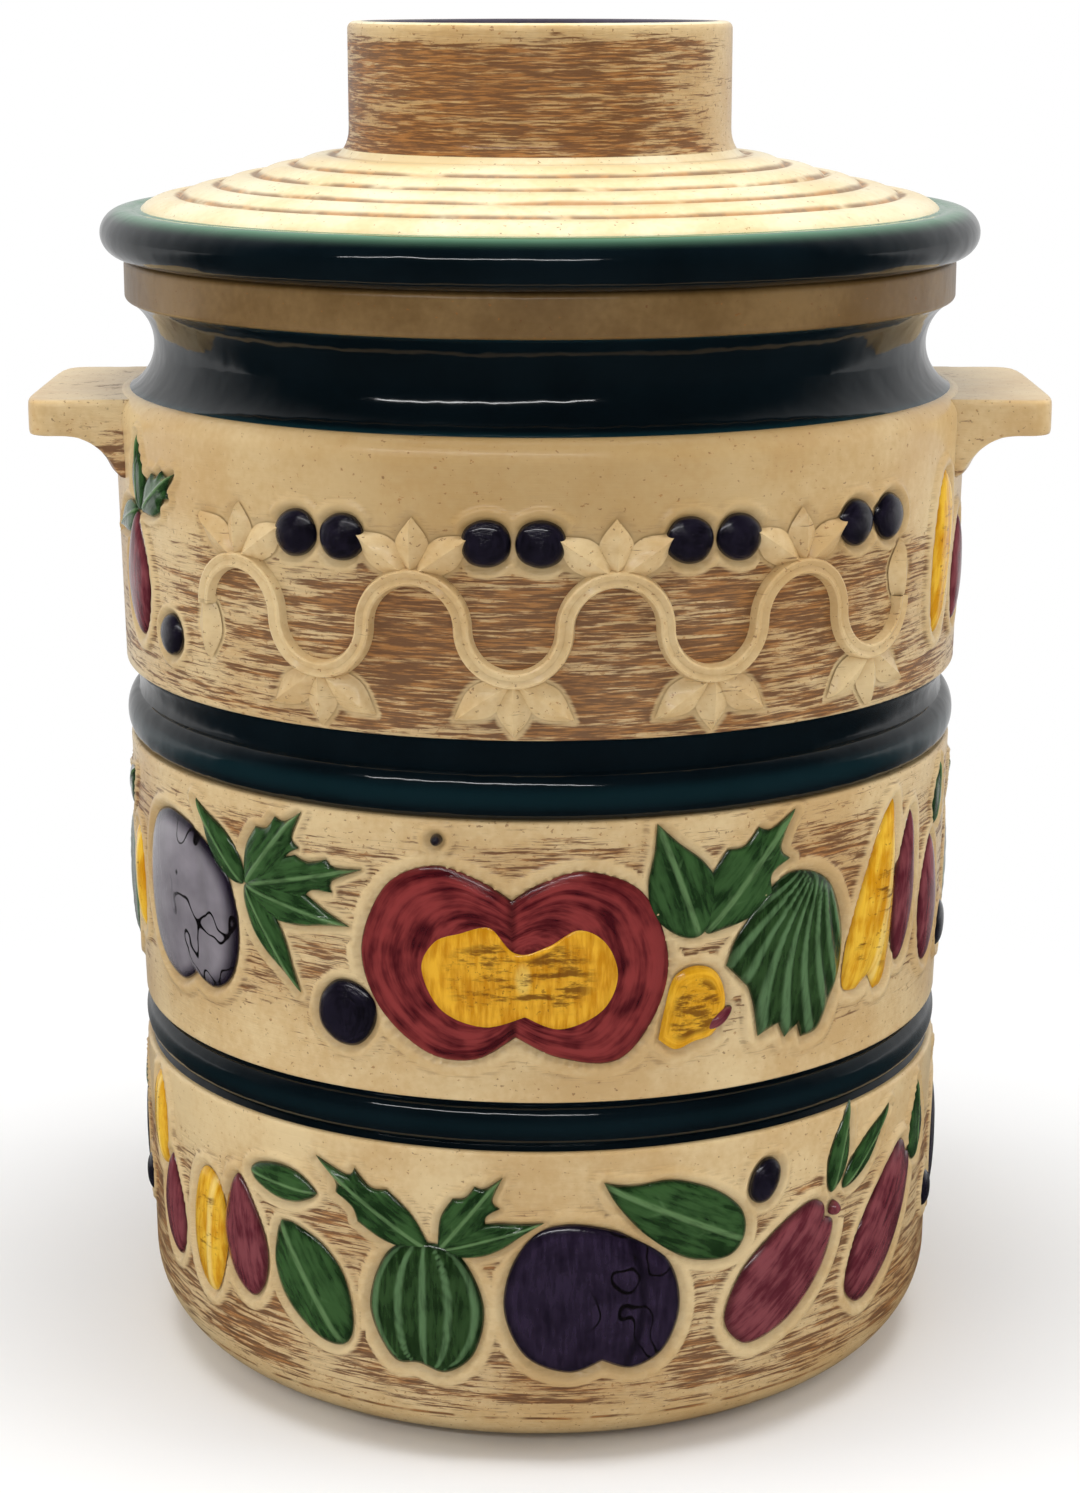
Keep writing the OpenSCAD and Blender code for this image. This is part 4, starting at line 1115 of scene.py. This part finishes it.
# %% Group: painted relief
painted, given, put = new_group("painted relief", "Dark Light Rib Around Gain Edge Dashes",
                                "Color Stroke Broad")
brush = use(painted, strokes, Around=given["Around"])
broad = calc(painted, "MULTIPLY_ADD", brush["Broad"], 0.5, times(painted, brush["Stroke"], 0.75))
tint = mix(painted, fade(painted, broad, 0.46, 0.76), given["Dark"], given["Light"])
streaky = calc(painted, "MULTIPLY_ADD", fade(painted, brush["Stroke"], 0.3, 0.55), 0.5, 0.5)
ribs = times(painted, fade(painted, fact(painted, "rib"), 0.25, 0.85), given["Gain"])
tint = mix(painted, times(painted, ribs, streaky), tint, given["Rib"])
crease = times(painted, fade(painted, fact(painted, "rib"), -0.25, -0.9), 0.7)
edge = times(painted, fade(painted, fact(painted, "rim"), 0.86, 0.99), given["Edge"])
deep = scaled(painted, given["Dark"], 0.35, 0.35, 0.35)
tint = mix(painted, calc(painted, "MAXIMUM", crease, edge), tint, deep)
brown = use(painted, wash, Place=object_mm(painted), Density=given["Dashes"], Stretch=4.0)
middle = fade(painted, fact(painted, "rim"), 0.85, 0.6)
dashes = times(painted, fade(painted, given["Dashes"], 0.0, 0.4), middle)
dashes = times(painted, dashes, 0.85)
tint = mix(painted, times(painted, brown["Mask"], dashes), tint, BROWN_DEEP)
feed(painted, put["Color"], tint)
feed(painted, put["Stroke"], brush["Stroke"])
feed(painted, put["Broad"], brush["Broad"])


# %% Paints
def paint(name, dark, light, rib, around=0.0, gain=0.7, edge=0.55, dashes=0.0, over=None):
    """Streaky paint from dark to light, with its own colour on ribs and a darker edge.

    around turns the strokes round the middle, dashes adds brown marks, and over lays
    more colour on top, such as a painted reflection.
    """
    made, tree, shader = material(name)
    look = use(tree, painted, Dark=colour(dark), Light=colour(light), Rib=colour(rib), Around=around,
               Gain=gain, Edge=edge, Dashes=dashes)
    tint = over(tree, look) if over else look["Color"]
    rough = calc(tree, "MULTIPLY_ADD", look["Stroke"], 0.12, 0.1)
    surface(tree, shader, tint, rough, look["Stroke"], 0.0004, 0.6, (0.7, 0.05))
    return made


def painted_sheen_and_curls(tree, look):
    """A pale painted reflection on the plums above the low band, and thin dark curls drawn on all plums."""
    place = object_mm(tree)
    level = add(tree, "SeparateXYZ", None, Vector=place).outputs["Z"]
    share = calc(tree, "MULTIPLY_ADD", look["Broad"], 0.6, 0.35)
    share = times(tree, share, fade(tree, level, 78.0, 84.0))
    share = times(tree, share, fade(tree, fact(tree, "rim"), 0.99, 0.8))
    # The pale grey mixed in here is a painted reflection, not a colour of the fruit.
    tint = mix(tree, share, look["Color"], colour("9c969c"))
    loop = noise(tree, scaled(tree, place, 1, 1, 0.8), 0.12, 1, 0.4)
    loop = fade(tree, away(tree, loop, 0.53), 0.016, 0.006)
    loop = times(tree, loop, fade(tree, fact(tree, "across"), -3.0, 1.0))
    return mix(tree, loop, tint, colour("0a0608"))


PAINTS = {
    "plums": paint("plum_paint", "1a1222", "2f2439", "463a52", 0.25, over=painted_sheen_and_curls),
    "apple_halves": paint("flesh_paint", "440c14", "8c3534", "94504a", 1.0, edge=0.2),
    "apple_hearts": paint("heart_paint", "c8850c", "edb22c", "efc862", 0.0, 0.9, 0.2, 0.6),
    "gourds": paint("gourd_paint", "14290f", "2f4a26", "63845a", 0.0, 0.75),
    "yellow_pods": paint("yellow_paint", "d08f0e", "efbe3a", "f4d57c", 0.0, 0.8, 0.15, 0.5),
    "red_pods": paint("maroon_paint", "58202a", "84444a", "985a5c", 0.0),
    "berries": paint("berry_paint", "0a0810", "1c1826", "1c1826", 0.8),
    "small_pears": paint("pear_paint", "cf900f", "efb62e", "efb62e", 0.6, 0.5, 0.1, 0.66),
    "leaves": paint("leaf_paint", "162e13", "38592f", "6c8d5c", 0.0, 0.7)}

# %% Bare clay and the inside
inside_glaze = cream_glaze("inside_glaze", 0.02)
bare_clay, tree, shader = material("bare_clay")
place = object_mm(tree)
clay = mix(tree, noise(tree, place, 0.4, 4), colour("b08a62"), colour("c9a77e"))
rough = calc(tree, "MULTIPLY_ADD", noise(tree, place, 1.2), 0.15, 0.75)
surface(tree, shader, clay, rough, noise(tree, place, 2.2, 4), 0.0004)


# %% Giving each piece its finish
def finish(piece, body, slot, *finishes):
    """Materials and the body it moves with; the slot argument is not used. A finish may have a rule for its
    faces.
    """
    for k, (glaze, rule) in enumerate(finishes):
        piece.data.materials.append(glaze)
        for face in piece.data.polygons if rule else ():
            x, y, z = face.center / MM
            if rule(math.hypot(x, y), z):
                face.material_index = k
    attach(piece, body)


for piece in walls:
    finish(piece, "pot", "crock", (wall_glaze, None))
for piece in (low_ridge, mid_ridge, neck):
    finish(piece, "pot", "crock", (ridge_glaze, None))
finish(core, "pot", "crock", (mouth_glaze_and_shadow, None),
       (inside_glaze, lambda r, z: r < MOUTH_IN + 1 or 5 < z < 220), (bare_clay, lambda r, z: z < 4))
for piece in walls + [low_ridge, mid_ridge, neck, core]:
    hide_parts("crock")
for piece, node in zip(lugs, ("handle_left", "handle_right")):
    finish(piece, "pot", node, (lug_glaze, None))
for name, piece in ornament.items():
    node = PIECES[name][1] if name in PIECES else "scroll_relief"
    finish(piece, "pot", node, (PAINTS.get(name, scroll_glaze), None))
finish(lid_body, "lid", "lid", (cone_glaze, None),
       (grip_glaze, lambda r, z: r > COLLAR_R - 0.4 and r < COLLAR_R + 4 and z > CONE1 + 1.5),
       (recess_glaze_and_shade, lambda r, z: r < COLLAR_R - 3 and z > CONE1 - 1),
       (bare_clay, lambda r, z: z < MOUTH + 0.4))
finish(lid_rim, "lid", "lid", (rim_glaze, None))
for piece in (lid_body, lid_rim):
    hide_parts("lid")
